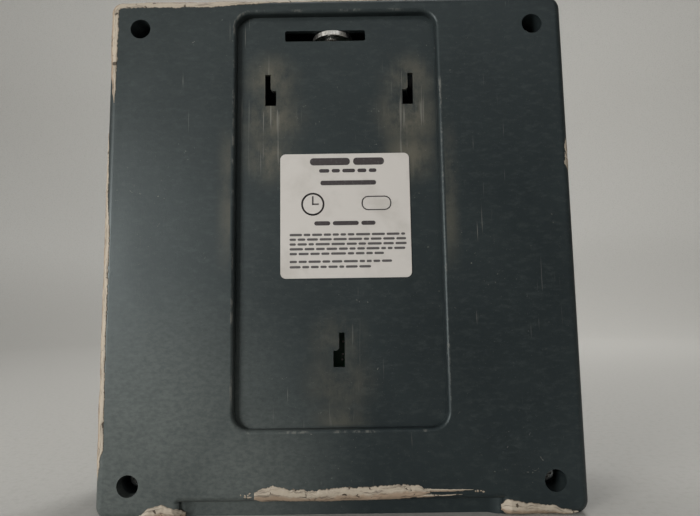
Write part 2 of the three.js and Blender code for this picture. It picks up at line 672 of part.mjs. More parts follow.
// A key cap with a skirt that keeps it from falling out through the panel.
function makeKey() {
  const { width, height, radius, edge } = KEY;
  const { reach, thickness, overlap } = KEY_SKIRT;
  const skirtFront = KEY_PROUD + WALL + GAP;
  const skirtBack = skirtFront + thickness - overlap;
  const capOutline = roundedRect(width, height, radius);
  const cap = cut(toSolid(softPrism(capOutline, skirtBack, 0, edge, 1, 2)), [
    box(-width, width, skirtFront + overlap, 2 * skirtBack, -width, width),
  ]);
  const skirtX = width / 2 + reach;
  const skirtZ = height / 2 + reach;
  const skirt = box(-skirtX, skirtX, skirtFront, skirtFront + thickness, -skirtZ, skirtZ);
  return toGeometry(join(cap, [skirt]));
}

function addKeys() {
  const geometry = makeKey();
  const blue = ['key_clock_in', 'key_clock_out', 'key_break', 'key_menu'];
  keyPlaces().forEach(({ name, x, z }) => {
    const key = addPiece(frontPanel, name, geometry, blue.includes(name) ? KEY_BLUE : KEY_GREY);
    key.position.set(x, -KEY_PROUD, z);
  });
}

// A circuit board behind the front panel, with a clearance hole for each of its screws.
function panelBoard(outline, front, screws) {
  return cut(
    toSolid(prism(outline, front + BOARD_THICKNESS, front, 2)),
    screws.map(([x, z]) => bar(PANEL_POST.boardHole, x, z, 0, 2 * front, 10)),
  );
}

function addKeypadLayers() {
  const { left, right, bottom, top } = keyBoardEdges();
  const { insetX, insetZ, radius } = KEY_MAT;
  const width = right - left;
  const height = top - bottom;
  const middleZ = (top + bottom) / 2;
  const matFront = WALL + GAP + KEY_SKIRT.thickness + KEY_TRAVEL + GAP;
  const matOutline = roundedRect(width - 2 * insetX, height - 2 * insetZ, radius, PANEL_X, middleZ);
  const boardOutline = roundedRect(width, height, 2, PANEL_X, middleZ);
  const board = panelBoard(boardOutline, KEY_BOARD.y, keyBoardScrews());
  addPiece(frontPanel, 'keypad_mat', prism(matOutline, KEY_BOARD.y - GAP, matFront, 3), RUBBER);
  addPiece(frontPanel, 'keypad_board', toGeometry(board), BOARD_GREEN);
  addFrontScrews('keypad_screw', keyBoardScrews(), KEY_BOARD.y);
}

// A rounded outline round the display's middle, larger than its view by the given amounts.
const viewOutline = (wider, taller, radius) =>
  roundedRect(DISPLAY.viewWidth + wider, DISPLAY.viewHeight + taller, radius, PANEL_X, DISPLAY.z);

// The metal frame round the glass: a thin face in front and walls at the sides.
function makeBezel(front, back, glassFront) {
  const { wider, taller, rim, windowInset, windowInsetZ, ledge } = BEZEL;
  const window = viewOutline(-2 * windowInset, -2 * windowInsetZ, ledge);
  const hollow = viewOutline(wider - 2 * rim, taller - 2 * rim, ledge);
  return cut(toSolid(prism(viewOutline(wider, taller, LEAST_RADIUS), back, front, 1)), [
    prism(window, back, 0, 1),
    prism(hollow, 2 * back, glassFront - GAP, 1),
  ]);
}

function addDisplay() {
  const { width, height, y } = DISPLAY_BOARD;
  const bezelFront = WALL + GAP;
  const glassFront = bezelFront + GLASS.set;
  const bezel = makeBezel(bezelFront, y - GAP, glassFront);
  const board = panelBoard(roundedRect(width, height, 1, PANEL_X, DISPLAY.z), y, displayScrews());
  const glassOutline = viewOutline(GLASS.wider, GLASS.taller, BEZEL.ledge);
  const glass = prism(glassOutline, glassFront + GLASS.thickness, glassFront, 1);
  const lensOutline = roundedRect(LENS.width, LENS.height, LENS.radius, PANEL_X, DISPLAY.z);
  addPiece(frontPanel, 'display_window', prism(lensOutline, LENS.thickness, 0, 3), CLEAR);
  addPiece(frontPanel, 'display_bezel', toGeometry(bezel), STEEL);
  addPiece(frontPanel, 'display_glass', glass, LCD_GREEN);
  addPiece(frontPanel, 'display_board', toGeometry(board), BOARD_GREEN);
  addFrontScrews('display_screw', displayScrews(), y);
}

// A light guide: a domed pin through the panel with a flange behind it.
function lampProfile() {
  const { radius, dome, flange, flangeEnd, end } = LAMP;
  return [
    new THREE.Vector2(0, -dome),
    new THREE.Vector2(radius * 0.6, -dome * 0.7),
    new THREE.Vector2(radius, 0),
    new THREE.Vector2(radius, WALL + GAP),
    new THREE.Vector2(radius + flange, WALL + GAP),
    new THREE.Vector2(radius + flange, flangeEnd),
    new THREE.Vector2(radius, flangeEnd),
    new THREE.Vector2(radius, end),
    new THREE.Vector2(0, end),
  ];
}

function addLampsAndSounder() {
  const lampFinish = { lamp_green: GREEN_LIGHT, lamp_red: RED_LIGHT };
  Object.entries(LAMPS).forEach(([name, x]) => {
    const lamp = addPiece(frontPanel, name, new THREE.LatheGeometry(lampProfile(), 10), lampFinish[name]);
    lamp.position.set(x, 0, LAMP_Z);
  });
  const { radius, height, rim } = SOUNDER;
  const front = WALL + GAP;
  const can = cut(toSolid(bar(radius, 0, 0, front, front + height, 28)), [
    bar(radius - rim, 0, 0, front - OVERLAP, front + OVERLAP, 28),
  ]);
  const sounder = addPiece(frontPanel, 'sounder', toGeometry(can), BLACK);
  sounder.position.set(SOUNDER.x, 0, SOUNDER.z);
}

// --- Card reader -------------------------------------------------------------------------------

function makeReaderBracket(right) {
  const { z, depth, width, length } = HEAD;
  const bracket = READER_BRACKET;
  const left = right - bracket.width;
  const halfDepth = width / 2 + bracket.border;
  const windowDepth = width / 2 + bracket.room;
  const windowHeight = length / 2 + bracket.room;
  const foot = READER_FOOT;
  const feet = [z - foot.z, z + foot.z].map((middle) =>
    box(
      left - foot.reach,
      left + OVERLAP,
      depth - foot.halfDepth,
      depth + foot.halfDepth,
      middle - foot.half,
      middle + foot.half,
    ),
  );
  const block = box(left, right, depth - halfDepth, depth + halfDepth, z - bracket.half, z + bracket.half);
  return cut(join(toSolid(block), feet), [
    box(
      left - MARGIN,
      right + OVERLAP,
      depth - windowDepth,
      depth + windowDepth,
      z - windowHeight,
      z + windowHeight,
    ),
  ]);
}

// The sensing head, with a nose that bulges into the card channel.
function makeHead(nose) {
  const { z, depth, width, length, reach, body, shoulder } = HEAD;
  const back = nose - body;
  const cheek = nose - reach - shoulder;
  const outline = new THREE.Shape()
    .moveTo(back, depth - width / 2)
    .lineTo(cheek, depth - width / 2)
    .quadraticCurveTo(nose + reach, depth, cheek, depth + width / 2)
    .lineTo(back, depth + width / 2);
  return upright(outline, z - length / 2, z + length / 2, 6);
}

function addReader() {
  const { half, gap, thickness, width } = HEAD_SPRING;
  const wallLeft = CHANNEL.x - CHANNEL.width / 2 - CHANNEL.wall;
  const nose = CHANNEL.x - CHANNEL.width / 2 + HEAD.reach;
  const springRight = nose - HEAD.body - gap;
  const spring = box(
    springRight - thickness,
    springRight,
    HEAD.depth - width / 2,
    HEAD.depth + width / 2,
    HEAD.z - half,
    HEAD.z + half,
  );
  addPiece(frontPanel, 'reader_bracket', toGeometry(makeReaderBracket(wallLeft - GAP)), BLACK);
  addPiece(frontPanel, 'magnetic_head', makeHead(nose), STEEL);
  addPiece(frontPanel, 'head_spring', spring, BRASS);
}

// --- Main board and sockets --------------------------------------------------------------------

function makeMainBoard() {
  const { halfWidth, bottom, top, y } = MAIN_BOARD;
  const outline = roundedRect(2 * halfWidth, top - bottom, 2, 0, (top + bottom) / 2);
  return cut(
    toSolid(prism(outline, y + BOARD_THICKNESS, y, 2)),
    boardScrewPlaces.map(([x, z]) => bar(BOARD_HOLE, x, z, 0, 2 * y, 12)),
  );
}

function socketBlock({ x, width, depth, height }) {
  const foot = SOCKET_FOOT;
  return toSolid(box(x - width / 2, x + width / 2, SOCKET_Y, SOCKET_Y + depth, foot, foot + height));
}

function makeNetworkSocket(socket) {
  const { half, depth, latchHalf, latchHeight } = NETWORK_MOUTH;
  const { x } = socket;
  const low = SOCKET_Y + (socket.depth - depth) / 2;
  return cut(socketBlock(socket), [
    box(x - half, x + half, low, low + depth, -OVERLAP, SOCKET_MOUTH),
    box(x - latchHalf, x + latchHalf, low - OVERLAP, low, -OVERLAP, latchHeight),
  ]);
}

function makeUsbSocket(socket) {
  const { x, width, depth } = socket;
  const { inset, thickness, start } = USB_TONGUE;
  const half = width / 2 - USB_SHELL;
  const far = SOCKET_Y + depth - USB_SHELL;
  const hollow = box(x - half, x + half, SOCKET_Y + USB_SHELL, far, -OVERLAP, SOCKET_MOUTH);
  const middle = SOCKET_Y + depth / 2;
  const tongueHalf = width / 2 - inset;
  const tongueEnd = SOCKET_MOUTH + OVERLAP;
  const tongue = box(x - tongueHalf, x + tongueHalf, middle, middle + thickness, start, tongueEnd);
  return join(cut(socketBlock(socket), [hollow]), [tongue]);
}

function makePowerSocket(socket) {
  const { radius, pin, pinStart, height } = POWER_MOUTH;
  const { x, depth } = socket;
  const middle = SOCKET_Y + depth / 2;
  const bored = cut(socketBlock(socket), [pillar(radius, x, middle, -OVERLAP, height)]);
  return join(bored, [pillar(pin, x, middle, pinStart, height + OVERLAP, 12)]);
}

// A round holder, open in front and above, round a coin cell.
function makeCellHolder(back) {
  const { x, z, radius, floor } = CELL;
  const { depth, opening } = CELL_HOLDER;
  const front = back - depth - OVERLAP;
  const bed = back - floor + GAP;
  return cut(toSolid(bar(CELL_HOLDER.radius, x, z, back - depth, back, 28)), [
    bar(radius + GAP, x, z, front, bed, 28),
    box(x - opening, x + opening, front, bed, z, z + 2 * radius),
  ]);
}

function addMainBoard() {
  const front = MAIN_BOARD.y - GAP;
  const { left, right, bottom, top, thickness } = PROCESSOR;
  const cellBack = front - CELL.floor;
  const cell = bar(CELL.radius, CELL.x, CELL.z, cellBack - CELL.thickness, cellBack, 28);
  addPiece(clock, 'main_board', toGeometry(makeMainBoard()), BOARD_GREEN);
  addPiece(clock, 'processor_chip', box(left, right, front - thickness, front, bottom, top), BLACK);
  addPiece(clock, 'cell_holder', toGeometry(makeCellHolder(front)), BLACK);
  addPiece(clock, 'coin_cell', cell, STEEL);
  addPiece(clock, 'network_socket', toGeometry(makeNetworkSocket(SOCKETS.network)), BLACK);
  addPiece(clock, 'usb_socket', toGeometry(makeUsbSocket(SOCKETS.usb)), STEEL);
  addPiece(clock, 'power_socket', toGeometry(makePowerSocket(SOCKETS.power)), BLACK);
}

// The flat cable from the display board down to the main board, in one slack bend.
function ribbonPath() {
  const { clip, slack, thickness } = RIBBON;
  const drops = RIBBON_DROPS;
  const frontY = FRONT_BASE_Y + DISPLAY.z * SLOPE + DISPLAY_BOARD.y + BOARD_THICKNESS + clip;
  const backY = MAIN_BOARD.y - GAP - thickness;
  const start = DISPLAY.z - drops.start;
  return new THREE.SplineCurve([
    new THREE.Vector2(frontY, start),
    new THREE.Vector2(frontY + slack, start - drops.bend),
    new THREE.Vector2((frontY + backY) / 2, start - drops.lowest),
    new THREE.Vector2(backY - slack, start - drops.rise),
    new THREE.Vector2(backY, start - drops.end),
  ]);
}

function addRibbon() {
  const { x, width, thickness, steps } = RIBBON;
  const path = ribbonPath();
  const shares = Array.from({ length: steps + 1 }, (_, index) => index / steps);
  const side = (offset) =>
    shares.map((at) => {
      const along = path.getTangentAt(at);
      const sideways = new THREE.Vector2(-along.y, along.x).multiplyScalar(offset);
      return path.getPointAt(at).add(sideways);
    });
  const outline = new THREE.Shape([...side(thickness / 2), ...side(-thickness / 2).reverse()]);
  addPiece(clock, 'display_ribbon', across(outline, x - width / 2, width), PAPER);
}

function addLabel() {
  const { x, z, width, height, radius, gap, thickness } = LABEL;
  const outline = roundedRect(width, height, radius, x, z);
  const back = FLOOR_Y + gap;
  addPiece(clock, 'rating_label', prism(outline, back + thickness, back), PAPER);
}

addPiece(clock, 'rear_cover', toGeometry(makeRearCover()), SLATE);
addPiece(clock, 'front_cover', toGeometry(makeFrontCover()), SLATE);
addCaseScrews();
addLabel();
addLock();
addKeys();
addKeypadLayers();
addDisplay();
addLampsAndSounder();
addReader();
addMainBoard();
addBoardScrews();
addRibbon();

export default clock;
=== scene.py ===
"""Looks for a wall-mounted employee time clock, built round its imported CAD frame.

The wall side faces +Y and the keypad side faces -Y. Left and right in this file are as seen from
the wall side, so left is +X. Lengths are metres; sizes are written as millimetres times MM.
"""

import json
import math
import random

import bmesh
import bpy
from mathutils import Matrix, Quaternion, Vector, noise

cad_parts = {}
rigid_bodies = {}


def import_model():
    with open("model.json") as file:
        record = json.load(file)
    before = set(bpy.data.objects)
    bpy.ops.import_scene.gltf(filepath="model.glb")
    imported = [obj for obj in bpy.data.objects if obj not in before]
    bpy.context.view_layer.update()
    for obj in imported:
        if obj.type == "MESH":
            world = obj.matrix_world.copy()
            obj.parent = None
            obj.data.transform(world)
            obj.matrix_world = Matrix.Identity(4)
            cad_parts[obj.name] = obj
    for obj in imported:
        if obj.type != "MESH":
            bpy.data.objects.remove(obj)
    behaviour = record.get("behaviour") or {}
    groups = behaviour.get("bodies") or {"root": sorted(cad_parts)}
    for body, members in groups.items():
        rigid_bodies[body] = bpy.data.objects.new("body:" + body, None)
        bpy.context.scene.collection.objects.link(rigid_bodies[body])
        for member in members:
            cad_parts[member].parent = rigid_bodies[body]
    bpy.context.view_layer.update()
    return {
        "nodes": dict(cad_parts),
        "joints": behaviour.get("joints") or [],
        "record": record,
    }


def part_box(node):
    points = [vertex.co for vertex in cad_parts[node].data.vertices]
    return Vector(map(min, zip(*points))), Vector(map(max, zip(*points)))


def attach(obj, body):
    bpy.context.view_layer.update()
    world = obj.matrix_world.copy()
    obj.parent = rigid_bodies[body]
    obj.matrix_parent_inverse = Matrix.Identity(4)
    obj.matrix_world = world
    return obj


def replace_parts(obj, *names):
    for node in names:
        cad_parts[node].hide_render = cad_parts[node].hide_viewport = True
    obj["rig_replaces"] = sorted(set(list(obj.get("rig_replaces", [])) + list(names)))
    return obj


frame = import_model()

MM = 0.001
ACROSS, INTO, UP = Vector((1, 0, 0)), Vector((0, 1, 0)), Vector((0, 0, 1))

record = frame["record"]
body_of = {node: body for body, nodes in record["behaviour"]["bodies"].items() for node in nodes}
slot_of = {part["node"]: part["material_slot"] for part in record["subparts"]}

# The case, from the frame
CASE_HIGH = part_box("rear_cover")[1]
BACK_Y = CASE_HIGH.y
CASE_TOP = CASE_HIGH.z
HALF_WIDTH = CASE_HIGH.x
LABEL_LOW, LABEL_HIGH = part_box("rating_label")
EDGE_RADIUS = 3.2 * MM
CORNER_RADIUS = 5 * MM
NOTCH_TOP = 8.4 * MM
NOTCH_EDGE = 2.4 * MM
NOTCH_HALF = 63 * MM
NOTCH_RAMP = 4.6 / 8
RECESS = {"middle": (0, 115.4 * MM), "half": (42.25 * MM, 84.7 * MM), "radius": 7.6 * MM}
HOOKS = [(27.2 * MM, 167 * MM), (-29 * MM, 167 * MM), (0.4 * MM, 61 * MM)]

# The front panel leans back; its keys travel along its own inward direction
key_travel = next(joint["axis"] for joint in frame["joints"] if joint["name"] == "key_5_press")
TILT = math.atan2(-key_travel[2], key_travel[1])
LEAN = Matrix.Rotation(-TILT, 4, "X")


# --- Camera, stage and lights ------------------------------------------------------------------


def add_camera():
    data = bpy.data.cameras.new("camera")
    data.sensor_width = 36
    data.lens = 27.05
    data.clip_start = 0.01
    camera = bpy.data.objects.new("camera", data)
    bpy.context.scene.collection.objects.link(camera)
    place = Vector((-4.48, 236.95, 75.45)) * MM
    target = Vector((-4.38, 33, 97.06)) * MM
    roll = Quaternion((0, 0, 1), math.radians(-0.82))
    camera.location = place
    camera.rotation_mode = "QUATERNION"
    camera.rotation_quaternion = (target - place).to_track_quat("-Z", "Y") @ roll
    bpy.context.scene.camera = camera


def add_stage():
    """A pale floor that curves up into a backdrop on every side."""
    floor_radius, curve, height = 1.3, 1.0, 2.8
    turns, curve_steps = 72, 18
    profile = [(0.2, 0), (floor_radius, 0)]
    for step in range(1, curve_steps + 1):
        angle = step / curve_steps * math.pi / 2
        profile.append((floor_radius + curve * math.sin(angle), curve * (1 - math.cos(angle))))
    profile.append((floor_radius + curve, height))
    angles = [turn / turns * math.tau for turn in range(turns)]
    shape = bmesh.new()
    rings = []
    for radius, up in profile:
        rings.append([shape.verts.new((radius * math.cos(a), radius * math.sin(a), up)) for a in angles])
    shape.faces.new(rings[0])
    for inner, outer in zip(rings, rings[1:]):
        join_loops(shape, outer, inner)
    floor = object_from(shape, "studio_floor", smooth=True)
    floor.data.materials.append(backdrop_finish())


def add_light(name, place, target, size, power, spread=180, tint=(1, 1, 1)):
    data = bpy.data.lights.new(name, "AREA")
    data.shape = "RECTANGLE"
    data.size, data.size_y = size
    data.energy = power
    data.spread = math.radians(spread)
    data.color = tint
    light = bpy.data.objects.new(name, data)
    light.location = place
    light.visible_camera = False
    light.rotation_mode = "QUATERNION"
    light.rotation_quaternion = (Vector(target) - Vector(place)).to_track_quat("-Z", "Y")
    bpy.context.scene.collection.objects.link(light)


def add_lights():
    """A low window to the wall side's left, a faint high panel, a wash on the backdrop and two fills."""
    middle = (0, 0, CASE_TOP / 2)
    add_light("low_window", (0.82, 0.87, 0.2), middle, (0.5, 0.25), 3.5, spread=100, tint=(1, 0.98, 0.95))
    add_light("high_panel", (-0.4, 1.6, 1.25), middle, (1.6, 0.7), 3.4)
    add_light("backdrop_wash", (0, -0.35, 2.1), (0, -2.1, 0.5), (2.0, 0.8), 15, spread=130)
    add_light("keypad_fill", (-0.7, -1.5, 1.4), middle, (0.7, 0.7), 9, spread=130)
    add_light("top_fill", (0.2, -0.2, 1.6), middle, (0.8, 0.8), 0.5, spread=50)
    world = bpy.data.worlds.new("studio")
    world.use_nodes = True
    sky = world.node_tree.nodes["Background"]
    sky.inputs["Color"].default_value = (0.86, 0.88, 0.9, 1)
    sky.inputs["Strength"].default_value = 0.20
    bpy.context.scene.world = world
    bpy.context.scene.view_settings.view_transform = "Standard"


# --- Material nodes ----------------------------------------------------------------------------


class Finish:
    """One material and short calls that add nodes to it. Places are in the part's own frame."""

    def __init__(self, name, colour, roughness, metallic=0.0):
        self.material = bpy.data.materials.new(name)
        self.material.use_nodes = True
        self.tree = self.material.node_tree
        self.shader = self.tree.nodes["Principled BSDF"]
        self.shader.inputs["Base Color"].default_value = (*colour, 1)
        self.shader.inputs["Roughness"].default_value = roughness
        self.shader.inputs["Metallic"].default_value = metallic
        self.place = self.tree.nodes.new("ShaderNodeTexCoord").outputs["Object"]
        self.height = None

    def node(self, kind, inputs, **settings):
        node = self.tree.nodes.new(kind)
        for name, value in settings.items():
            setattr(node, name, value)
        for key, value in inputs.items():
            self.feed(node.inputs[key], value)
        return node

    def feed(self, socket, value):
        if isinstance(value, bpy.types.NodeSocket):
            self.tree.links.new(value, socket)
        elif isinstance(value, tuple) and socket.type == "RGBA":
            socket.default_value = (*value[:3], 1)
        else:
            socket.default_value = value

    def math(self, operation, a, b=0.0):
        return self.node("ShaderNodeMath", {0: a, 1: b}, operation=operation).outputs[0]

    def stretch(self, scale):
        return self.node("ShaderNodeMapping", {"Vector": self.place, "Scale": scale}).outputs[0]

    def noise(self, scale, detail=3.0, stretch=(1, 1, 1), distortion=0.0, rough=0.55):
        """Noise with about this many features a metre."""
        inputs = {"Vector": self.stretch(stretch), "Scale": scale, "Detail": detail}
        inputs |= {"Distortion": distortion, "Roughness": rough}
        return self.node("ShaderNodeTexNoise", inputs).outputs["Fac"]

    def band(self, value, start, end, low=0.0, high=1.0):
        """low below start, high above end, and smooth between; start may be the larger."""
        if start > end:
            start, end, low, high = end, start, high, low
        inputs = {"Value": value, "From Min": start, "From Max": end, "To Min": low, "To Max": high}
        return self.node("ShaderNodeMapRange", inputs, interpolation_type="SMOOTHSTEP").outputs[0]

    def mix(self, factor, a, b):
        node = self.node("ShaderNodeMix", {}, data_type="RGBA")
        for socket, value in zip((node.inputs[0], node.inputs[6], node.inputs[7]), (factor, a, b)):
            self.feed(socket, value)
        return node.outputs[2]

    def axis(self, name):
        return self.node("ShaderNodeSeparateXYZ", {0: self.place}).outputs[name]

    def near(self, centre, radius):
        """One at centre, falling to nothing at radius."""
        inputs = {0: self.place, 1: centre}
        away = self.node("ShaderNodeVectorMath", inputs, operation="DISTANCE").outputs["Value"]
        return self.band(away, radius, 0)

    def outside_recess(self):
        """How far outside the mouth of the recess a place is; less than nothing inside it."""
        steps = []
        radius = RECESS["radius"]
        for name, centre, reach in zip("XZ", RECESS["middle"], RECESS["half"]):
            away = self.math("ABSOLUTE", self.math("SUBTRACT", self.axis(name), centre))
            steps.append(self.math("MAXIMUM", self.math("SUBTRACT", away, reach - radius), 0.0))
        squares = [self.math("MULTIPLY", step, step) for step in steps]
        length = self.math("SQRT", self.math("ADD", *squares))
        return self.math("SUBTRACT", length, radius)

    def on_wall_side(self):
        """One on the wall side's own surfaces, the recess floor among them."""
        return self.band(self.axis("Y"), 27.5 * MM, 28.5 * MM)

    def relief(self, height, depth, strength=1.0):
        """Adds a bump of this depth on top of the ones before it."""
        inputs = {"Height": height, "Distance": depth, "Strength": strength}
        if self.height is not None:
            inputs["Normal"] = self.height
        self.height = self.node("ShaderNodeBump", inputs).outputs[0]
        self.feed(self.shader.inputs["Normal"], self.height)

    def colour(self, value):
        self.feed(self.shader.inputs["Base Color"], value)

    def roughness(self, value):
        self.feed(self.shader.inputs["Roughness"], value)


def backdrop_finish():
    """Pale, finely textured paper, painted a little deeper on the floor than on the backdrop to even out the
    light each gets.
    """
    paper, floor_paper_painted_darker = (0.62, 0.61, 0.58), (0.46, 0.45, 0.425)
    shadow, speck = (0.5, 0.49, 0.46), (0.36, 0.35, 0.32)
    finish = Finish("backdrop", paper, 0.8)
    finish.shader.inputs["Specular IOR Level"].default_value = 0.0
    # painted light: the paper pales up the curve, making up for the backdrop getting less light than the
    # floor
    painted_light_rise = finish.band(finish.axis("Z"), 0.0, 0.4)
    broad = finish.noise(1.4, detail=2)
    speckle = finish.noise(300, detail=3)
    pale = finish.mix(painted_light_rise, floor_paper_painted_darker, paper)
    soft = finish.mix(finish.band(broad, 0.3, 0.7, 0, 0.12), pale, shadow)
    finish.colour(finish.mix(finish.band(speckle, 0.45, 0.75, 0, 0.3), soft, speck))
    finish.roughness(finish.band(broad, 0.3, 0.7, 0.72, 0.88))
    finish.relief(speckle, 0.2 * MM)
    return finish.material


def rubbed_rims(finish):
    """A little on the wall side, just outside the middle of the recess's two long rims."""
    away = finish.outside_recess()
    beside = finish.math("MULTIPLY", finish.band(away, 7 * MM, 1 * MM), finish.band(away, 0, 0.5 * MM))
    from_middle = finish.math("ABSOLUTE", finish.math("SUBTRACT", finish.axis("Z"), 122 * MM))
    middle = finish.band(from_middle, 35 * MM, 10 * MM)
    return finish.math("MULTIPLY", finish.math("MULTIPLY", beside, middle), 0.5)


def near_hooks(finish):
    """One on the recess floor close to and below each hook slot, where a bracket slides in and out."""
    near = 0.0
    for (x, z), most in zip(HOOKS, (1.0, 1.0, 0.5)):
        for drop, radius in ((4 * MM, 16 * MM), (-12 * MM, 19 * MM), (-28 * MM, 16 * MM)):
            patch = finish.math("MULTIPLY", finish.near((x, BACK_Y, z + drop), radius), most)
            near = finish.math("MAXIMUM", near, patch)
    inside = finish.band(finish.outside_recess(), -1 * MM, -3 * MM)
    return finish.math("MULTIPLY", finish.math("MULTIPLY", near, inside), finish.on_wall_side())


def brown_rub(finish, hooks):
    """Cloudy brown polish near the hook slots and beside the recess's rims."""
    clouds = finish.band(finish.noise(85, detail=6, stretch=(1, 1, 0.6), rough=0.7), 0.3, 0.6)
    handled = finish.math("MAXIMUM", hooks, rubbed_rims(finish))
    return finish.math("MULTIPLY", clouds, finish.math("MULTIPLY", handled, 0.9))


def painted_window_glare(finish):
    """A painted reflection on the wall side: a pale glare, paler towards its left and top, most of all at its
    lower left.
    """
    # painted reflection: the glare rises towards +X and the top, and peaks at the lower left
    rising = finish.math("ADD", finish.axis("X"), finish.math("MULTIPLY", finish.axis("Z"), 0.5))
    bloom = finish.band(rising, -20 * MM, 220 * MM, 0, 0.2)
    for place, radius in (((88, 33, 8), 80), ((72, 33, 30), 80), ((40, 33, 14), 55)):
        bloom = finish.math("MAXIMUM", bloom, finish.near(Vector(place) * MM, radius * MM))
    flecks = finish.band(finish.noise(750, detail=4, stretch=(0.6, 1, 1), rough=0.75), 0.3, 0.7, 0.55, 1)
    return finish.math("MULTIPLY", finish.math("MULTIPLY", bloom, flecks), finish.on_wall_side())


def rim_wear(finish):
    """Thin, broken pale lines where the recess's rim has been rubbed."""
    away = finish.outside_recess()
    inner, outer = finish.band(away, -1.2 * MM, -0.8 * MM), finish.band(away, 0.1 * MM, -0.3 * MM)
    line = finish.math("MULTIPLY", inner, outer)
    broken = finish.band(finish.noise(95, detail=5, stretch=(1, 1, 0.6), rough=0.7), 0.5, 0.6)
    nicked = finish.band(finish.noise(900, detail=2, stretch=(1, 1, 0.4)), 0.35, 0.6)
    both = finish.math("MULTIPLY", broken, nicked)
    return finish.math("MULTIPLY", finish.math("MULTIPLY", line, both), finish.on_wall_side())


def fine_scratches(finish, busy):
    """Thin bright lines, nearly upright; short and few except where busy is near one."""
    upright = finish.noise(1100, detail=1, stretch=(1, 1, 0.03), distortion=0.12)
    turned = {"Vector": finish.place, "Rotation": (0, math.radians(28), 0), "Scale": (1, 1, 0.035)}
    slanted_place = finish.node("ShaderNodeMapping", turned).outputs[0]
    inputs = {"Vector": slanted_place, "Scale": 900.0, "Detail": 1.0}
    slanted = finish.node("ShaderNodeTexNoise", inputs).outputs["Fac"]
    patches = finish.math("MAXIMUM", finish.band(finish.noise(38, detail=2), 0.56, 0.7), busy)
    more = finish.math("MULTIPLY", busy, 0.09)
    upright, slanted = finish.math("ADD", upright, more), finish.math("ADD", slanted, more)
    lines = finish.math("MAXIMUM", finish.band(upright, 0.72, 0.78), finish.band(slanted, 0.74, 0.79))
    return finish.math("MULTIPLY", lines, patches)


def slate_finish(name, worn):
    """Satin slate-grey moulded plastic with a spark-eroded grain, smudges, scuffs and rubbed edges; on the
    worn wall side also a painted reflection, paler to the left, top and lower left.
    """
    # the third colour is the pale tone of a painted reflection
    dark, pale, glare_tone = (0.0115, 0.0165, 0.0185), (0.016, 0.0225, 0.0245), (0.095, 0.107, 0.102)
    rubbed, bare = (0.115, 0.106, 0.08), (0.20, 0.195, 0.175)
    finish = Finish(name, dark, 0.42)
    finish.shader.inputs["Specular IOR Level"].default_value = 0.4
    finish.shader.inputs["Specular Tint"].default_value = (0.86, 0.98, 1, 1)
    grain = finish.noise(1500, detail=3)
    cloud = finish.noise(16, detail=4, distortion=0.4)
    smudge = finish.noise(48, detail=5, stretch=(1, 1, 0.7), distortion=0.6)
    mottle = finish.noise(420, detail=4, stretch=(0.45, 1, 1), rough=0.7)
    shade = finish.mix(finish.band(cloud, 0.3, 0.7), dark, pale)
    shade = finish.mix(finish.band(mottle, 0.45, 0.75, 0, 0.3), shade, (0.05, 0.06, 0.06))
    hooks = near_hooks(finish) if worn else 0.0
    scratches = fine_scratches(finish, hooks)
    wear = finish.math("MULTIPLY", scratches, 0.6)
    if worn:
        # painted reflection: mixes the wall side paler towards its left, top and lower left
        shade = finish.mix(painted_window_glare(finish), shade, glare_tone)
        shade = finish.mix(brown_rub(finish, hooks), shade, rubbed)
        wear = finish.math("MAXIMUM", wear, finish.math("MULTIPLY", rim_wear(finish), 0.45))
    dust = finish.band(finish.noise(2600, detail=1), 0.72, 0.78)
    nicks = finish.band(finish.noise(700, detail=2, distortion=1.0), 0.70, 0.76)
    nicks = finish.math("MULTIPLY", nicks, finish.band(smudge, 0.5, 0.62))
    wear = finish.math("MAXIMUM", wear, finish.math("MULTIPLY", dust, 0.25))
    wear = finish.math("MAXIMUM", wear, finish.math("MULTIPLY", nicks, 0.6))
    finish.colour(finish.mix(wear, shade, bare))
    gloss = finish.band(smudge, 0.3, 0.75, 0.41, 0.47)
    finish.roughness(finish.math("ADD", gloss, finish.math("MULTIPLY", wear, 0.25)))
    finish.relief(grain, 0.04 * MM, 0.6)
    finish.relief(scratches, -0.03 * MM, 0.6)
    return finish.material


def key_finish(name, colour, wear_colour):
    """Matte key plastic with fine grain and a little polish and grime from fingers."""
    finish = Finish(name, colour, 0.5)
    grime = finish.band(finish.noise(210, detail=4), 0.5, 0.75, 0, 0.35)
    finish.colour(finish.mix(grime, colour, wear_colour))
    finish.roughness(finish.band(finish.noise(120, detail=3), 0.35, 0.7, 0.38, 0.58))
    finish.relief(finish.noise(3000, detail=2), 0.02 * MM, 0.5)
    return finish.material


def metal_finish(name, colour, roughness, tarnish, grain=(1, 1, 1)):
    """Plated metal with fine brushing along the grain's long direction and dull patches."""
    finish = Finish(name, colour, roughness, 1.0)
    dull = finish.noise(420, detail=4)
    finish.colour(finish.mix(finish.band(dull, 0.45, 0.75, 0, 0.8), colour, tarnish))
    brushing = finish.noise(1500, detail=3, stretch=grain)
    finish.roughness(finish.band(brushing, 0.3, 0.7, roughness - 0.08, roughness + 0.18))
    finish.relief(brushing, 0.02 * MM, 0.6)
    return finish.material


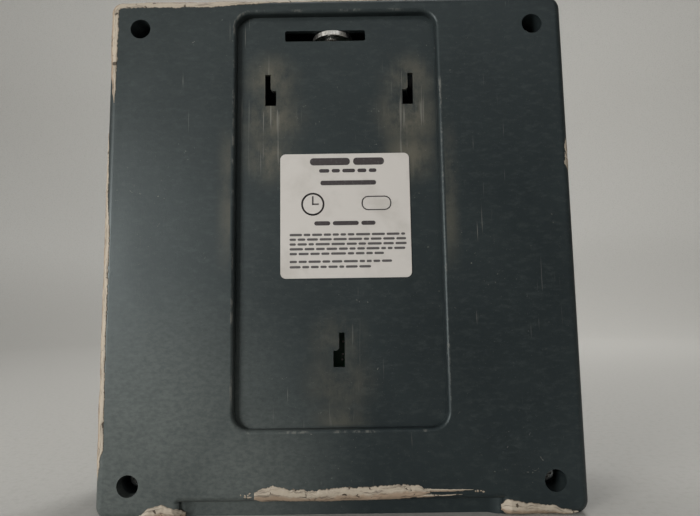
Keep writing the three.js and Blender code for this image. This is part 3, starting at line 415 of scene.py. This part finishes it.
def paint_finish():
    """Old wall paint dried in lengthwise ridges: tan outside, cream inside, dirt in its pits, and along its
    thin borders a dark line that is partly dirt and partly painted shadow.
    """
    tan, cream, brown = (0.33, 0.25, 0.18), (0.43, 0.375, 0.30), (0.07, 0.052, 0.035)
    finish = Finish("dried_paint", tan, 0.55)
    film = finish.node("ShaderNodeAttribute", {}, attribute_name="film").outputs["Vector"]
    share = finish.node("ShaderNodeSeparateXYZ", {0: film}).outputs["Y"]
    spread = finish.node("ShaderNodeMapping", {"Vector": film, "Scale": (0.12, 6.5, 1.0)}).outputs[0]
    inputs = {"Vector": spread, "Scale": 1.0, "Detail": 5.0, "Roughness": 0.65}
    ridges = finish.node("ShaderNodeTexNoise", inputs).outputs["Fac"]
    patches = finish.noise(170, detail=5, distortion=0.5)
    inner = finish.band(finish.math("ADD", share, finish.math("MULTIPLY", patches, 0.5)), 0.66, 0.86)
    base = finish.mix(inner, tan, cream)
    base = finish.mix(finish.band(ridges, 0.5, 0.66, 0, 0.7), base, brown)
    border = finish.math("ABSOLUTE", finish.math("SUBTRACT", share, 0.5))
    # partly dirt, partly painted shadow: a thin dark line along both borders of the film
    dirt_and_border_shadow = finish.math("MULTIPLY", finish.band(border, 0.42, 0.49), 0.8)
    pits = finish.band(finish.noise(330, detail=3, distortion=0.6), 0.635, 0.67)
    dirt_and_border_shadow = finish.math("MAXIMUM", dirt_and_border_shadow, pits)
    finish.colour(finish.mix(dirt_and_border_shadow, base, brown))
    finish.roughness(finish.band(patches, 0.3, 0.7, 0.5, 0.7))
    finish.relief(ridges, 0.25 * MM, 0.8)
    finish.relief(pits, -0.2 * MM, 0.8)
    return finish.material


def film_finish(name, colour, dirty, roughness=0.42):
    """Printed label film: nearly flat, faintly rippled, slightly soiled."""
    finish = Finish(name, colour, roughness)
    soil = finish.noise(70, detail=5, distortion=0.3)
    finish.colour(finish.mix(finish.band(soil, 0.45, 0.8, 0, 0.7), colour, dirty))
    finish.roughness(finish.band(soil, 0.3, 0.7, roughness - 0.06, roughness + 0.1))
    finish.relief(finish.noise(45, detail=2), 0.12 * MM, 0.5)
    finish.relief(finish.noise(2400, detail=1), 0.01 * MM, 0.4)
    return finish.material


def ink_finish(name, colour):
    finish = Finish(name, colour, 0.5)
    patches = finish.noise(900, detail=3)
    worn = tuple(0.85 * part + 0.04 for part in colour)
    finish.colour(finish.mix(finish.band(patches, 0.5, 0.75), colour, worn))
    finish.roughness(finish.band(patches, 0.3, 0.7, 0.45, 0.6))
    return finish.material


def board_finish():
    """Green solder mask over copper tracks that run up and across, with tinned pads."""
    mask, track, pad = (0.016, 0.105, 0.050), (0.030, 0.165, 0.080), (0.55, 0.54, 0.5)
    finish = Finish("circuit_board", mask, 0.35)
    grid = finish.node(
        "ShaderNodeTexBrick",
        {"Vector": finish.stretch((1, 1, 1)), "Scale": 210.0, "Mortar Size": 0.18, "Color1": (0.0, 0.0, 0.0)},
    ).outputs["Fac"]
    lanes = finish.band(finish.noise(150, detail=2, stretch=(1, 1, 0.2)), 0.49, 0.52)
    tracks = finish.math("MULTIPLY", grid, lanes)
    dots = finish.node("ShaderNodeTexVoronoi", {"Vector": finish.place, "Scale": 330.0}).outputs["Distance"]
    pads = finish.band(dots, 0.16, 0.12)
    finish.colour(finish.mix(pads, finish.mix(tracks, mask, track), pad))
    finish.roughness(finish.band(finish.noise(300), 0.3, 0.7, 0.3, 0.45))
    finish.relief(tracks, 0.03 * MM)
    return finish.material


def plain_plastic_finish(name, colour, roughness):
    finish = Finish(name, colour, roughness)
    cloud = finish.noise(160, detail=4)
    lighter = tuple(1.5 * part + 0.004 for part in colour)
    finish.colour(finish.mix(finish.band(cloud, 0.35, 0.75), colour, lighter))
    finish.roughness(finish.band(cloud, 0.3, 0.7, roughness - 0.08, roughness + 0.1))
    finish.relief(finish.noise(2200, detail=2), 0.02 * MM, 0.5)
    return finish.material


def window_finish():
    """Clear moulded acrylic with faint hairline wear."""
    finish = Finish("clear_window", (0.93, 0.96, 0.94), 0.04)
    finish.shader.inputs["Transmission Weight"].default_value = 1.0
    finish.shader.inputs["IOR"].default_value = 1.49
    hairs = finish.noise(900, detail=2, stretch=(0.04, 1, 1))
    finish.roughness(finish.band(hairs, 0.5, 0.8, 0.02, 0.16))
    finish.relief(finish.noise(30, detail=1), 0.03 * MM, 0.3)
    return finish.material


def crystal_finish():
    """An unlit character display: a yellow-green cell with faint rows of dot blocks."""
    lit, cell = (0.235, 0.30, 0.115), (0.195, 0.25, 0.095)
    finish = Finish("liquid_crystal", lit, 0.22)
    inside = 1.0
    for name, pitch, share in (("X", 5.4 * MM, 0.78), ("Z", 11.0 * MM, 0.74)):
        turns = finish.math("DIVIDE", finish.math("ADD", finish.axis(name), 1.0), pitch)
        step = finish.math("FRACT", turns)
        inside = finish.math("MULTIPLY", inside, finish.band(step, share, share - 0.03))
    dots = 1.0
    for name in "XZ":
        step = finish.math("FRACT", finish.math("MULTIPLY", finish.axis(name), 1 / (0.9 * MM)))
        dots = finish.math("MULTIPLY", dots, finish.band(step, 0.88, 0.8))
    finish.colour(finish.mix(finish.math("MULTIPLY", inside, dots), lit, cell))
    finish.roughness(finish.band(finish.noise(60), 0.3, 0.7, 0.18, 0.28))
    return finish.material


def rubber_finish():
    finish = Finish("silicone_rubber", (0.03, 0.031, 0.03), 0.8)
    bloom = finish.noise(140, detail=4)
    finish.colour(finish.mix(finish.band(bloom, 0.4, 0.75), (0.03, 0.031, 0.03), (0.055, 0.056, 0.054)))
    finish.roughness(finish.band(bloom, 0.3, 0.7, 0.7, 0.9))
    finish.relief(finish.noise(1800, detail=2), 0.04 * MM, 0.6)
    return finish.material


def lamp_finish(name, colour):
    finish = Finish(name, colour, 0.2)
    finish.shader.inputs["Transmission Weight"].default_value = 0.55
    depth = finish.noise(900, detail=2)
    darker = tuple(0.6 * part for part in colour)
    finish.colour(finish.mix(finish.band(depth, 0.4, 0.7), colour, darker))
    finish.roughness(finish.band(depth, 0.3, 0.7, 0.14, 0.28))
    return finish.material


def ribbon_finish():
    """Grey flat cable with a groove between its conductors, coloured darker as painted shade."""
    pale, groove_shade = (0.50, 0.50, 0.48), (0.30, 0.30, 0.29)
    finish = Finish("flat_cable", pale, 0.45)
    step = finish.math("FRACT", finish.math("MULTIPLY", finish.axis("X"), 1 / (1.27 * MM)))
    lines = finish.band(finish.math("ABSOLUTE", finish.math("SUBTRACT", step, 0.5)), 0.4, 0.5)
    # painted shade: the grooves between conductors are coloured darker
    finish.colour(finish.mix(lines, pale, groove_shade))
    finish.roughness(finish.band(finish.noise(200), 0.3, 0.7, 0.38, 0.55))
    finish.relief(lines, -0.15 * MM)
    return finish.material


STEEL = metal_finish("steel", (0.60, 0.60, 0.59), 0.33, (0.38, 0.37, 0.35))
ZINC = metal_finish("zinc", (0.66, 0.65, 0.62), 0.30, (0.36, 0.33, 0.28), (1, 1, 0.2))
BRASS = metal_finish("brass", (0.62, 0.47, 0.22), 0.35, (0.34, 0.25, 0.12))
BLACK = plain_plastic_finish("black_plastic", (0.012, 0.012, 0.012), 0.45)
SLATE = slate_finish("slate_front", worn=False)
WORN_GLARED_SLATE = slate_finish("slate_wall_side", worn=True)
GREY_KEY = key_finish("grey_key", (0.45, 0.46, 0.44), (0.30, 0.30, 0.28))
BLUE_KEY = key_finish("blue_key", (0.045, 0.105, 0.20), (0.09, 0.13, 0.19))
PAINT = paint_finish()
LABEL = film_finish("label_film", (0.56, 0.54, 0.515), (0.42, 0.40, 0.37))
DARK_INK = ink_finish("dark_ink", (0.035, 0.028, 0.03))
GREY_INK = ink_finish("grey_ink", (0.075, 0.07, 0.07))
PALE_INK = ink_finish("pale_ink", (0.62, 0.63, 0.62))

FINISHES = {
    "slate_plastic": SLATE,
    "key_plastic": GREY_KEY,
    "function_key_plastic": BLUE_KEY,
    "steel": STEEL,
    "zinc": ZINC,
    "brass": BRASS,
    "label": LABEL,
    "window": window_finish(),
    "display": crystal_finish(),
    "rubber": rubber_finish(),
    "circuit_board": board_finish(),
    "black_plastic": BLACK,
    "green_lamp": lamp_finish("green_lamp", (0.04, 0.33, 0.10)),
    "red_lamp": lamp_finish("red_lamp", (0.42, 0.03, 0.02)),
    "flat_cable": ribbon_finish(),
}


# --- Meshes ------------------------------------------------------------------------------------


def object_from(shape, name, smooth=False):
    mesh = bpy.data.meshes.new(name)
    shape.to_mesh(mesh)
    shape.free()
    mesh.polygons.foreach_set("use_smooth", [smooth] * len(mesh.polygons))
    piece = bpy.data.objects.new(name, mesh)
    bpy.context.scene.collection.objects.link(piece)
    return piece


def finish_piece(piece, body, material):
    piece.data.materials.clear()
    piece.data.materials.append(material)
    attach(piece, body)
    return piece


def soften(piece, width, angle=32):
    """Rounds a piece's crisp edges a little and keeps its large faces flat."""
    bevel = piece.modifiers.new("edge_break", "BEVEL")
    bevel.limit_method = "ANGLE"
    bevel.angle_limit = math.radians(angle)
    bevel.width = width
    bevel.segments = 2
    bevel.miter_outer = "MITER_ARC"
    normals = piece.modifiers.new("flat_faces", "WEIGHTED_NORMAL")
    normals.keep_sharp = True
    normals.weight = 100


def refined(node, width=0.15 * MM, angle=32, material=None):
    """A node's own shape with smooth rounds and softened edges, shown in place of the node."""
    shape = bmesh.new()
    shape.from_mesh(frame["nodes"][node].data)
    bmesh.ops.remove_doubles(shape, verts=shape.verts, dist=1e-6)
    bmesh.ops.dissolve_limit(
        shape, angle_limit=math.radians(0.5), verts=shape.verts, edges=shape.edges
    )
    for edge in shape.edges:
        edge.smooth = edge.calc_face_angle(math.pi) < math.radians(angle)
    piece = object_from(shape, node + "_surface", smooth=True)
    soften(piece, width, angle)
    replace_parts(piece, node)
    return finish_piece(piece, body_of[node], material or FINISHES[slot_of[node]])


def join_loops(shape, first, second):
    """Faces between two closed loops that have the same number of points."""
    for start, end in zip(range(len(first)), [*range(1, len(first)), 0]):
        shape.faces.new((first[start], first[end], second[end], second[start]))


def rounded_loop(width, height, radius, steps=5):
    """Points round a rounded rectangle about the origin, anticlockwise, as (across, up) pairs."""
    points = []
    for turn, (side, end) in enumerate(((1, 1), (-1, 1), (-1, -1), (1, -1))):
        for step in range(steps + 1):
            angle = (turn + step / steps) * math.pi / 2
            x = side * (width / 2 - radius) + radius * math.cos(angle)
            points.append((x, end * (height / 2 - radius) + radius * math.sin(angle)))
    return points


def plates(name, outlines, place):
    """Thin closed plates, one for each outline; place(across, up, 0 or 1) gives back or front points."""
    shape = bmesh.new()
    for outline in outlines:
        back, front = ([shape.verts.new(place(u, v, side)) for u, v in outline] for side in (0, 1))
        shape.faces.new(front)
        shape.faces.new(back[::-1])
        join_loops(shape, back, front)
    bmesh.ops.recalc_face_normals(shape, faces=shape.faces)
    return object_from(shape, name)


def pill(u, v, width, height, steps=4):
    loop = rounded_loop(width, height, min(width, height) * 0.45, steps)
    return [(u + width / 2 + x, v + height / 2 + y) for x, y in loop]


def stroke(points, width):
    """Square-ended bars along a path, one for each stretch."""
    bars = []
    for (u0, v0), (u1, v1) in zip(points, points[1:]):
        along = Vector((u1 - u0, v1 - v0)).normalized() * width / 2
        side = Vector((-along.y, along.x))
        start, end = Vector((u0, v0)) - along, Vector((u1, v1)) + along
        bars.append([tuple(p) for p in (start - side, end - side, end + side, start + side)])
    return bars


def arc(centre, radius, start, end, steps=10):
    angles = [math.radians(start + (end - start) * step / steps) for step in range(steps + 1)]
    return [(centre[0] + radius * math.cos(a), centre[1] + radius * math.sin(a)) for a in angles]


# --- Covers and carried-over parts -------------------------------------------------------------


def dress_covers():
    refined("rear_cover", 0.22 * MM, material=WORN_GLARED_SLATE)
    refined("front_cover", 0.22 * MM)


def dress_fasteners_and_lock():
    for number in range(1, 5):
        refined(f"case_screw_{number}", 0.12 * MM)
    for node in ("lock_body", "lock_plug", "lock_cam", "lock_clip", "cam_screw"):
        refined(node, 0.15 * MM)


def dress_sockets():
    for node in ("network_socket", "usb_socket", "power_socket", "sounder"):
        refined(node, 0.15 * MM)
    for node in ("lamp_green", "lamp_red", "magnetic_head", "reader_bracket", "display_bezel"):
        refined(node, 0.12 * MM)


def dress_inner_parts():
    """Parts inside the case keep their CAD meshes and take a finish."""
    replaced = {name for piece in bpy.data.objects for name in piece.get("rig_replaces", [])}
    for node, piece in frame["nodes"].items():
        if node not in replaced:
            piece.data.materials.clear()
            piece.data.materials.append(FINISHES[slot_of[node]])


# --- Rating label ------------------------------------------------------------------------------


def words(u, v, width, height, rng, gap, longest):
    """A line of print shown as plain bars of word length, not as letters."""
    bars = []
    end = u + width
    while u < end - 2 * gap:
        length = min(rng.uniform(0.3, 1) * longest, end - u)
        bars.append(pill(u, v, length, height, 2))
        u += length + gap
    return bars


def label_print():
    """A heading, two lines under it, a clock-face mark, an empty badge and two blocks of small print."""
    rng = random.Random(4)
    width = LABEL_HIGH.x - LABEL_LOW.x
    height = LABEL_HIGH.z - LABEL_LOW.z
    dark = [
        pill(0.23 * width, 0.905 * height, 0.31 * width, 3.0 * MM),
        pill(0.565 * width, 0.905 * height, 0.24 * width, 3.0 * MM),
        *words(0.30 * width, 0.845 * height, 0.46 * width, 1.5 * MM, rng, 0.9 * MM, 9 * MM),
        pill(0.31 * width, 0.742 * height, 0.43 * width, 1.9 * MM),
        *words(0.26 * width, 0.418 * height, 0.47 * width, 1.7 * MM, rng, 1.0 * MM, 11 * MM),
    ]
    centre = (0.25 * width, 0.59 * height)
    dark += stroke(arc(centre, 4.3 * MM, 0, 360, 30), 0.7 * MM)
    dark += stroke([(centre[0], centre[1] + 3 * MM), centre, (centre[0] + 2.1 * MM, centre[1])], 0.6 * MM)
    badge = pill(0.63 * width, 0.54 * height, 0.22 * width, 5.4 * MM)
    dark += stroke([*badge, badge[0]], 0.45 * MM)
    small = []
    block = [(0.335, 0.885), (0.298, 0.895), (0.26, 0.895), (0.222, 0.89), (0.184, 0.72)]
    for line, share in [*block, (0.122, 0.78), (0.08, 0.62)]:
        start = 0.07 * width
        small += words(start, line * height, share * width, 0.95 * MM, rng, 0.6 * MM, 6 * MM)
    return dark, small


def dress_label():
    refined("rating_label", 0.08 * MM)
    body, slot = body_of["rating_label"], slot_of["rating_label"]

    def place(u, v, side):
        lift = (0.03 if side else -0.05) * MM
        return Vector((LABEL_HIGH.x - u, LABEL_HIGH.y + lift, LABEL_LOW.z + v))

    dark, small = label_print()
    finish_piece(plates("label_print_dark", dark, place), body, DARK_INK)
    finish_piece(plates("label_print_small", small, place), body, GREY_INK)


# --- Dried paint on the case's edges -----------------------------------------------------------


def rim(s, side):
    """A point on the case's outline and its outward direction. s runs from the middle of the top,
    out to one side, round the corner and down; side is 1 for +X and -1 for -X."""
    straight = HALF_WIDTH - CORNER_RADIUS
    bend = CORNER_RADIUS * math.pi / 2
    turn = min(max((s - straight) / CORNER_RADIUS, 0), math.pi / 2)
    out = ACROSS * side * math.sin(turn) + UP * math.cos(turn)
    corner = ACROSS * side * min(s, straight) + UP * (CASE_TOP - CORNER_RADIUS)
    return corner + out * CORNER_RADIUS - UP * max(s - straight - bend, 0), out


def rolled(point, out, t):
    """The rounded edge between a side wall and the wall side at an outline point. t runs across it
    from the start of the rounding."""
    turn = min(max(t / EDGE_RADIUS, 0), math.pi / 2)
    spare = t - turn * EDGE_RADIUS
    down = EDGE_RADIUS * (1 - math.sin(turn)) - min(spare, 0)
    inward = EDGE_RADIUS * (1 - math.cos(turn)) + max(spare, 0)
    place = point - out * inward + INTO * (BACK_Y - down)
    return place, out * math.cos(turn) + INTO * math.sin(turn)


def left_rim(s, t):
    return rolled(*rim(s, 1), t)


def right_rim(s, t):
    return rolled(*rim(s, -1), t)


def foot_rim(s, t):
    """The foot's rounded edge, which falls away down a ramp at each end of the cable notch."""
    place, normal = rolled(ACROSS * s, -UP, t)
    ramp = BACK_Y - max(NOTCH_HALF - abs(s), 0) * NOTCH_RAMP
    place.y = min(place.y, ramp)
    return place, normal


def notch_lip(s, t):
    """The wall side above the cable notch; below t = 0 it rolls over the notch's rounded mouth."""
    turn = min(max(-t / NOTCH_EDGE, 0), math.pi / 2)
    down = NOTCH_EDGE * (1 - math.cos(turn))
    height = NOTCH_TOP - NOTCH_EDGE * math.sin(turn) + max(t, 0)
    point = Vector((s, BACK_Y - down, height))
    return point, INTO * math.cos(turn) - UP * math.sin(turn)


def between(knots, s):
    """The lowest and highest t at s, smoothly from knot to knot."""
    for (s0, *start), (s1, *end) in zip(knots, knots[1:]):
        if s <= s1:
            share = (s - s0) / (s1 - s0)
            share = share * share * (3 - 2 * share)
            return [a + (b - a) * share for a, b in zip(start, end)]
    return knots[-1][1:]


def ragged(s, seed, size):
    """A finely broken wander along an edge, mostly within plus or minus size."""
    slow = noise.noise((0.35 * s, seed, 0.5))
    quick = noise.noise((1.3 * s, seed, 7.5))
    fine = noise.noise((3.1 * s, seed, 3.5))
    return size * (0.8 * slow + 0.8 * quick + 0.5 * fine)


def film_height(s, t, share, width, seed):
    """How high a film of paint stands, as a share of its thickness: ridged along s, lumpy, thin at
    both borders and thin where the film is narrow."""
    ridge = 0.8 + 0.9 * noise.noise((0.10 * s, 3.5 * share, seed + 17))
    lump = 0.35 * noise.noise((0.9 * s, 1.1 * t, seed + 5))
    swell = math.sqrt(max(4 * share * (1 - share), 0)) * min(width / 1.2, 1)
    return swell * max(ridge + lump, 0.25)


def smear(name, surface, knots, thickness, seed, rough=0.35):
    """A film of dried paint. Each knot is a place along the edge with the film's lowest and highest
    place across it, all in millimetres; the higher border is the more ragged one."""
    step, rows, sunk = 0.35, 12, 0.04
    first, last = knots[0][0], knots[-1][0]
    count = max(int((last - first) / step), 4)
    shape = bmesh.new()
    film = shape.verts.layers.float_vector.new("film")
    columns = []
    for index in range(count + 1):
        s = first + (last - first) * index / count
        bottom, top = between(knots, s)
        calm = min((s - first) / 2, (last - s) / 2, 1) * min((top - bottom) / 1.5, 1)
        top += ragged(s, seed, rough) * calm
        bottom += ragged(s, seed + 40, rough * 0.6) * calm
        column = []
        for row in range(rows + 1):
            share = row / rows
            t = bottom + (top - bottom) * share
            lift = thickness * film_height(s, t, share, top - bottom, seed) - sunk
            point, normal = surface(s * MM, t * MM)
            vertex = shape.verts.new(point + normal * lift * MM)
            vertex[film] = (s, share, seed)
            column.append(vertex)
        columns.append(column)
    for left, right in zip(columns, columns[1:]):
        for row in range(rows):
            shape.faces.new((left[row], right[row], right[row + 1], left[row + 1]))
    bmesh.ops.recalc_face_normals(shape, faces=shape.faces)
    middle = surface((first + last) / 2 * MM, (knots[1][1] + knots[1][2]) / 2 * MM)[1]
    if sum(face.normal.dot(middle) for face in shape.faces) < 0:
        bmesh.ops.reverse_faces(shape, faces=shape.faces)
    piece = object_from(shape, name, smooth=True)
    body = piece.modifiers.new("film_body", "SOLIDIFY")
    body.thickness = 0.08 * MM
    body.offset = -1
    return finish_piece(piece, "case", PAINT)


def flakes(name, surface, count, start, end, low, high, seed):
    """Small loose crumbs of paint beside a smear."""
    rng = random.Random(seed)
    for number in range(count):
        s, t = rng.uniform(start, end), rng.uniform(low, high)
        long, wide = rng.uniform(0.5, 1.3), rng.uniform(0.25, 0.55)
        knots = [(s, t, t + 0.05), (s + long / 2, t - wide, t + wide), (s + long, t, t + 0.05)]
        smear(f"{name}_{number + 1}", surface, knots, 0.25, seed + number, 0.2)


def add_rim_paint():
    """Wall paint that dried along the top, round a corner and down the left side."""
    upper = [(-86, 2.0, 2.3), (-40, 1.0, 2.7), (0, 0.8, 3.0), (24, 0.6, 3.3), (36, 0.4, 4.4)]
    upper += [(52, 0.2, 5.4), (86, 0.2, 5.3), (95, 0.3, 5.6), (112, 0.4, 5.3)]
    upper += [(120, 2.0, 5.2), (128, 3.4, 5.0), (134, 4.3, 4.6)]
    smear("paint_upper", left_rim, upper, 0.35, 2)
    lower = [(146, 0.6, 1.6), (153, 0.2, 2.6), (168, 0.1, 3.0), (190, 0.2, 4.6), (226, 0.1, 4.5)]
    lower += [(240, 0.3, 4.6), (262, 0.4, 4.9), (268, 0.8, 5.2), (274, 1.2, 3.6)]
    smear("paint_lower", left_rim, [*lower, (281, 2.2, 2.5)], 0.35, 7)
    smear("paint_right_1", right_rim, [(151, 2.6, 2.8), (155, 1.7, 3.9), (158.5, 2.4, 2.6)], 0.3, 11)
    smear("paint_right_2", right_rim, [(157, 3.4, 3.6), (161, 1.2, 4.1), (165, 2.0, 2.2)], 0.3, 12)


def add_foot_paint():
    """Wall paint over the lip of the cable notch and on the foot's edge at both ends of it."""
    lip = [(-33, 0.2, 1.4), (-28, -1.6, 3.3), (-17, -3.0, 3.5), (-6, -3.4, 2.9), (4, -3.7, 2.7)]
    lip += [(11, -3.7, 1.7), (18, -3.7, 2.3), (25, -3.7, 3.9), (29, -3.4, 2.9), (32.5, -1.6, 1.4)]
    smear("paint_lip", notch_lip, lip, 0.5, 13, 0.5)
    smear("paint_streak_1", notch_lip, [(-51, 1.2, 1.4), (-42, 0.7, 1.5), (-30, 0.6, 1.9)], 0.25, 15, 0.3)
    smear("paint_streak_2", notch_lip, [(-45, -0.5, -0.3), (-38, -1.1, -0.4), (-28, -1.6, 0)], 0.25, 16, 0.3)
    flakes("paint_crumb_left", notch_lip, 9, 33, 38, -1.2, 1.2, 60)
    flakes("paint_crumb_right", notch_lip, 5, -54, -44, 0.2, 1.2, 80)
    left = [(58.5, 2.6, 4.2), (62, 1.0, 6.0), (67, 0.8, 7.6), (71, 1.0, 6.8)]
    smear("paint_foot_left", foot_rim, [*left, (75.5, 3.2, 3.8)], 0.55, 19)
    right = [(-88, 2.6, 3.2), (-82, 1.4, 4.6), (-78, 1.2, 6.0), (-69, 1.0, 6.5), (-65.5, 1.0, 7.6)]
    right += [(-62, 0.9, 8.0), (-59.6, 3.4, 5.6)]
    smear("paint_foot_right", foot_rim, right, 0.6, 23)


# --- Keypad ------------------------------------------------------------------------------------

KEY_WIDTH, KEY_HEIGHT, KEY_RADIUS = 20 * MM, 13 * MM, 2.6 * MM
KEY_PROFILE = [
    # how far in from the key's side, and how deep behind its front, both in millimetres
    (-1.2, 6.0),
    (-1.2, 4.8),
    (0.0, 4.8),
    (0.0, 1.0),
    (0.12, 0.55),
    (0.45, 0.18),
    (0.9, 0.02),
    (1.6, 0.06),
    (2.6, 0.16),
    (4.0, 0.24),
    (5.4, 0.28),
]
LEGEND_BACK, LEGEND_FRONT = 0.31 * MM, 0.17 * MM


def upright_box(node):
    """The low and high corners of a node on the leaning panel, once the panel is turned upright."""
    back = LEAN.inverted()
    corners = [back @ v.co for v in frame["nodes"][node].data.vertices]
    low = Vector(min(c[axis] for c in corners) for axis in range(3))
    high = Vector(max(c[axis] for c in corners) for axis in range(3))
    return low, high


def on_panel(origin, u, v, depth):
    """A place on the leaning panel, from across, up and depth behind origin; u runs to the +X side."""
    return LEAN @ (origin + Vector((u, depth, v)))


def dress_key(node):
    low, high = upright_box(node)
    origin = Vector(((low.x + high.x) / 2, low.y, (low.z + high.z) / 2))
    shape = bmesh.new()
    rings = []
    for inset, depth in KEY_PROFILE:
        inset, depth = inset * MM, depth * MM
        radius = max(KEY_RADIUS - inset, 0.6 * MM)
        loop = rounded_loop(KEY_WIDTH - 2 * inset, KEY_HEIGHT - 2 * inset, radius)
        rings.append([shape.verts.new(on_panel(origin, u, v, depth)) for u, v in loop])
    shape.faces.new(rings[0])
    for outer, inner in zip(rings, rings[1:]):
        join_loops(shape, outer, inner)
    shape.faces.new(rings[-1])
    bmesh.ops.recalc_face_normals(shape, faces=shape.faces)
    for edge in shape.edges:
        edge.smooth = edge.calc_face_angle(0) < math.radians(50)
    piece = object_from(shape, node + "_cap", smooth=True)
    normals = piece.modifiers.new("flat_faces", "WEIGHTED_NORMAL")
    normals.keep_sharp = True
    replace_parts(piece, node)
    finish_piece(piece, body_of[node], FINISHES[slot_of[node]])
    dress_legend(node, origin)


def numeral(digit, size):
    """A thin solid numeral in Blender's own font, centred on the origin and facing +Z."""
    curve = bpy.data.curves.new("numeral", "FONT")
    curve.body = digit
    curve.size = size
    curve.align_x, curve.align_y = "CENTER", "CENTER"
    curve.extrude = (LEGEND_BACK - LEGEND_FRONT) / 2
    writer = bpy.data.objects.new("numeral", curve)
    bpy.context.scene.collection.objects.link(writer)
    depsgraph = bpy.context.evaluated_depsgraph_get()
    mesh = bpy.data.meshes.new_from_object(writer.evaluated_get(depsgraph))
    bpy.data.objects.remove(writer)
    return mesh


def legend_icon(sign):
    """The bars of a plain sign for a key that has no number, in metres about the key's middle."""
    pen = 0.75 * MM
    cross = [(-2, -2), (2, 2)], [(-2, 2), (2, -2)]
    tick = [[(-2.6, 0.2), (-0.8, -1.9), (2.8, 2.1)]]
    bars = [[(-2.8, level), (2.8, level)] for level in (-1.9, 0, 1.9)]
    handle = [(1.5, 1.0), (2.9, 0.9), (2.6, -0.7), (1.4, -0.8)]
    cup = [[(-2.4, 1.8), (-2.0, -1.8), (1.2, -1.8), (1.6, 1.8), (-2.4, 1.8)], handle]
    bracket = [[(1.2, 2.2), (3.4, 2.2), (3.4, -2.2), (1.2, -2.2)]]
    into = [[(-4.2, 0), (1.6, 0)], [(0, 1.5), (1.6, 0), (0, -1.5)], *bracket]
    out_of = [[(-4.2, 0), (1.6, 0)], [(-2.6, 1.5), (-4.2, 0), (-2.6, -1.5)], *bracket]
    icons = {
        "clear": cross,
        "enter": tick,
        "menu": bars,
        "break": cup,
        "clock_in": into,
        "clock_out": out_of,
    }
    return [bar for path in icons[sign] for bar in stroke([(u * MM, v * MM) for u, v in path], pen)]


def dress_legend(node, origin):
    """The number or plain sign printed on a key."""
    name = node.replace("key_", "legend_")
    sign = node.removeprefix("key_")
    if sign.isdigit():
        mesh = numeral(sign, 8 * MM)
        middle = (LEGEND_BACK + LEGEND_FRONT) / 2
        for vertex in mesh.vertices:
            vertex.co = on_panel(origin, vertex.co.x, vertex.co.y, middle - vertex.co.z)
        mesh.name = name
        piece = bpy.data.objects.new(name, mesh)
        bpy.context.scene.collection.objects.link(piece)
    else:

        def place(u, v, side):
            return on_panel(origin, u, v, LEGEND_FRONT if side else LEGEND_BACK)

        piece = plates(name, legend_icon(sign), place)
    pale = slot_of[node] == "function_key_plastic"
    finish_piece(piece, body_of[node], PALE_INK if pale else DARK_INK)


def dress_keypad():
    for node in sorted(frame["nodes"]):
        if node.startswith("key_"):
            dress_key(node)


# --- Display -----------------------------------------------------------------------------------


def dress_display():
    """The clear window with a black border printed on its back."""
    refined("display_window", 0.2 * MM)
    low, high = upright_box("display_window")
    origin = Vector(((low.x + high.x) / 2, high.y, (low.z + high.z) / 2))
    clear = 0.4 * MM
    outer = rounded_loop(high.x - low.x - clear, high.z - low.z - clear, 2 * MM)
    inner = rounded_loop(90 * MM, 25 * MM, 1 * MM)
    shape = bmesh.new()
    rings = []
    for loop, depth in ((outer, 0.03), (outer, 0.15), (inner, 0.15), (inner, 0.03)):
        rings.append([shape.verts.new(on_panel(origin, u, v, depth * MM)) for u, v in loop])
    for first, second in zip(rings, [*rings[1:], rings[0]]):
        join_loops(shape, first, second)
    bmesh.ops.recalc_face_normals(shape, faces=shape.faces)
    border = object_from(shape, "window_border")
    finish_piece(border, "case", BLACK)


# --- Assembly ----------------------------------------------------------------------------------

add_camera()
add_stage()
add_lights()
dress_covers()
dress_fasteners_and_lock()
dress_sockets()
dress_label()
dress_keypad()
dress_display()
add_rim_paint()
add_foot_paint()
dress_inner_parts()
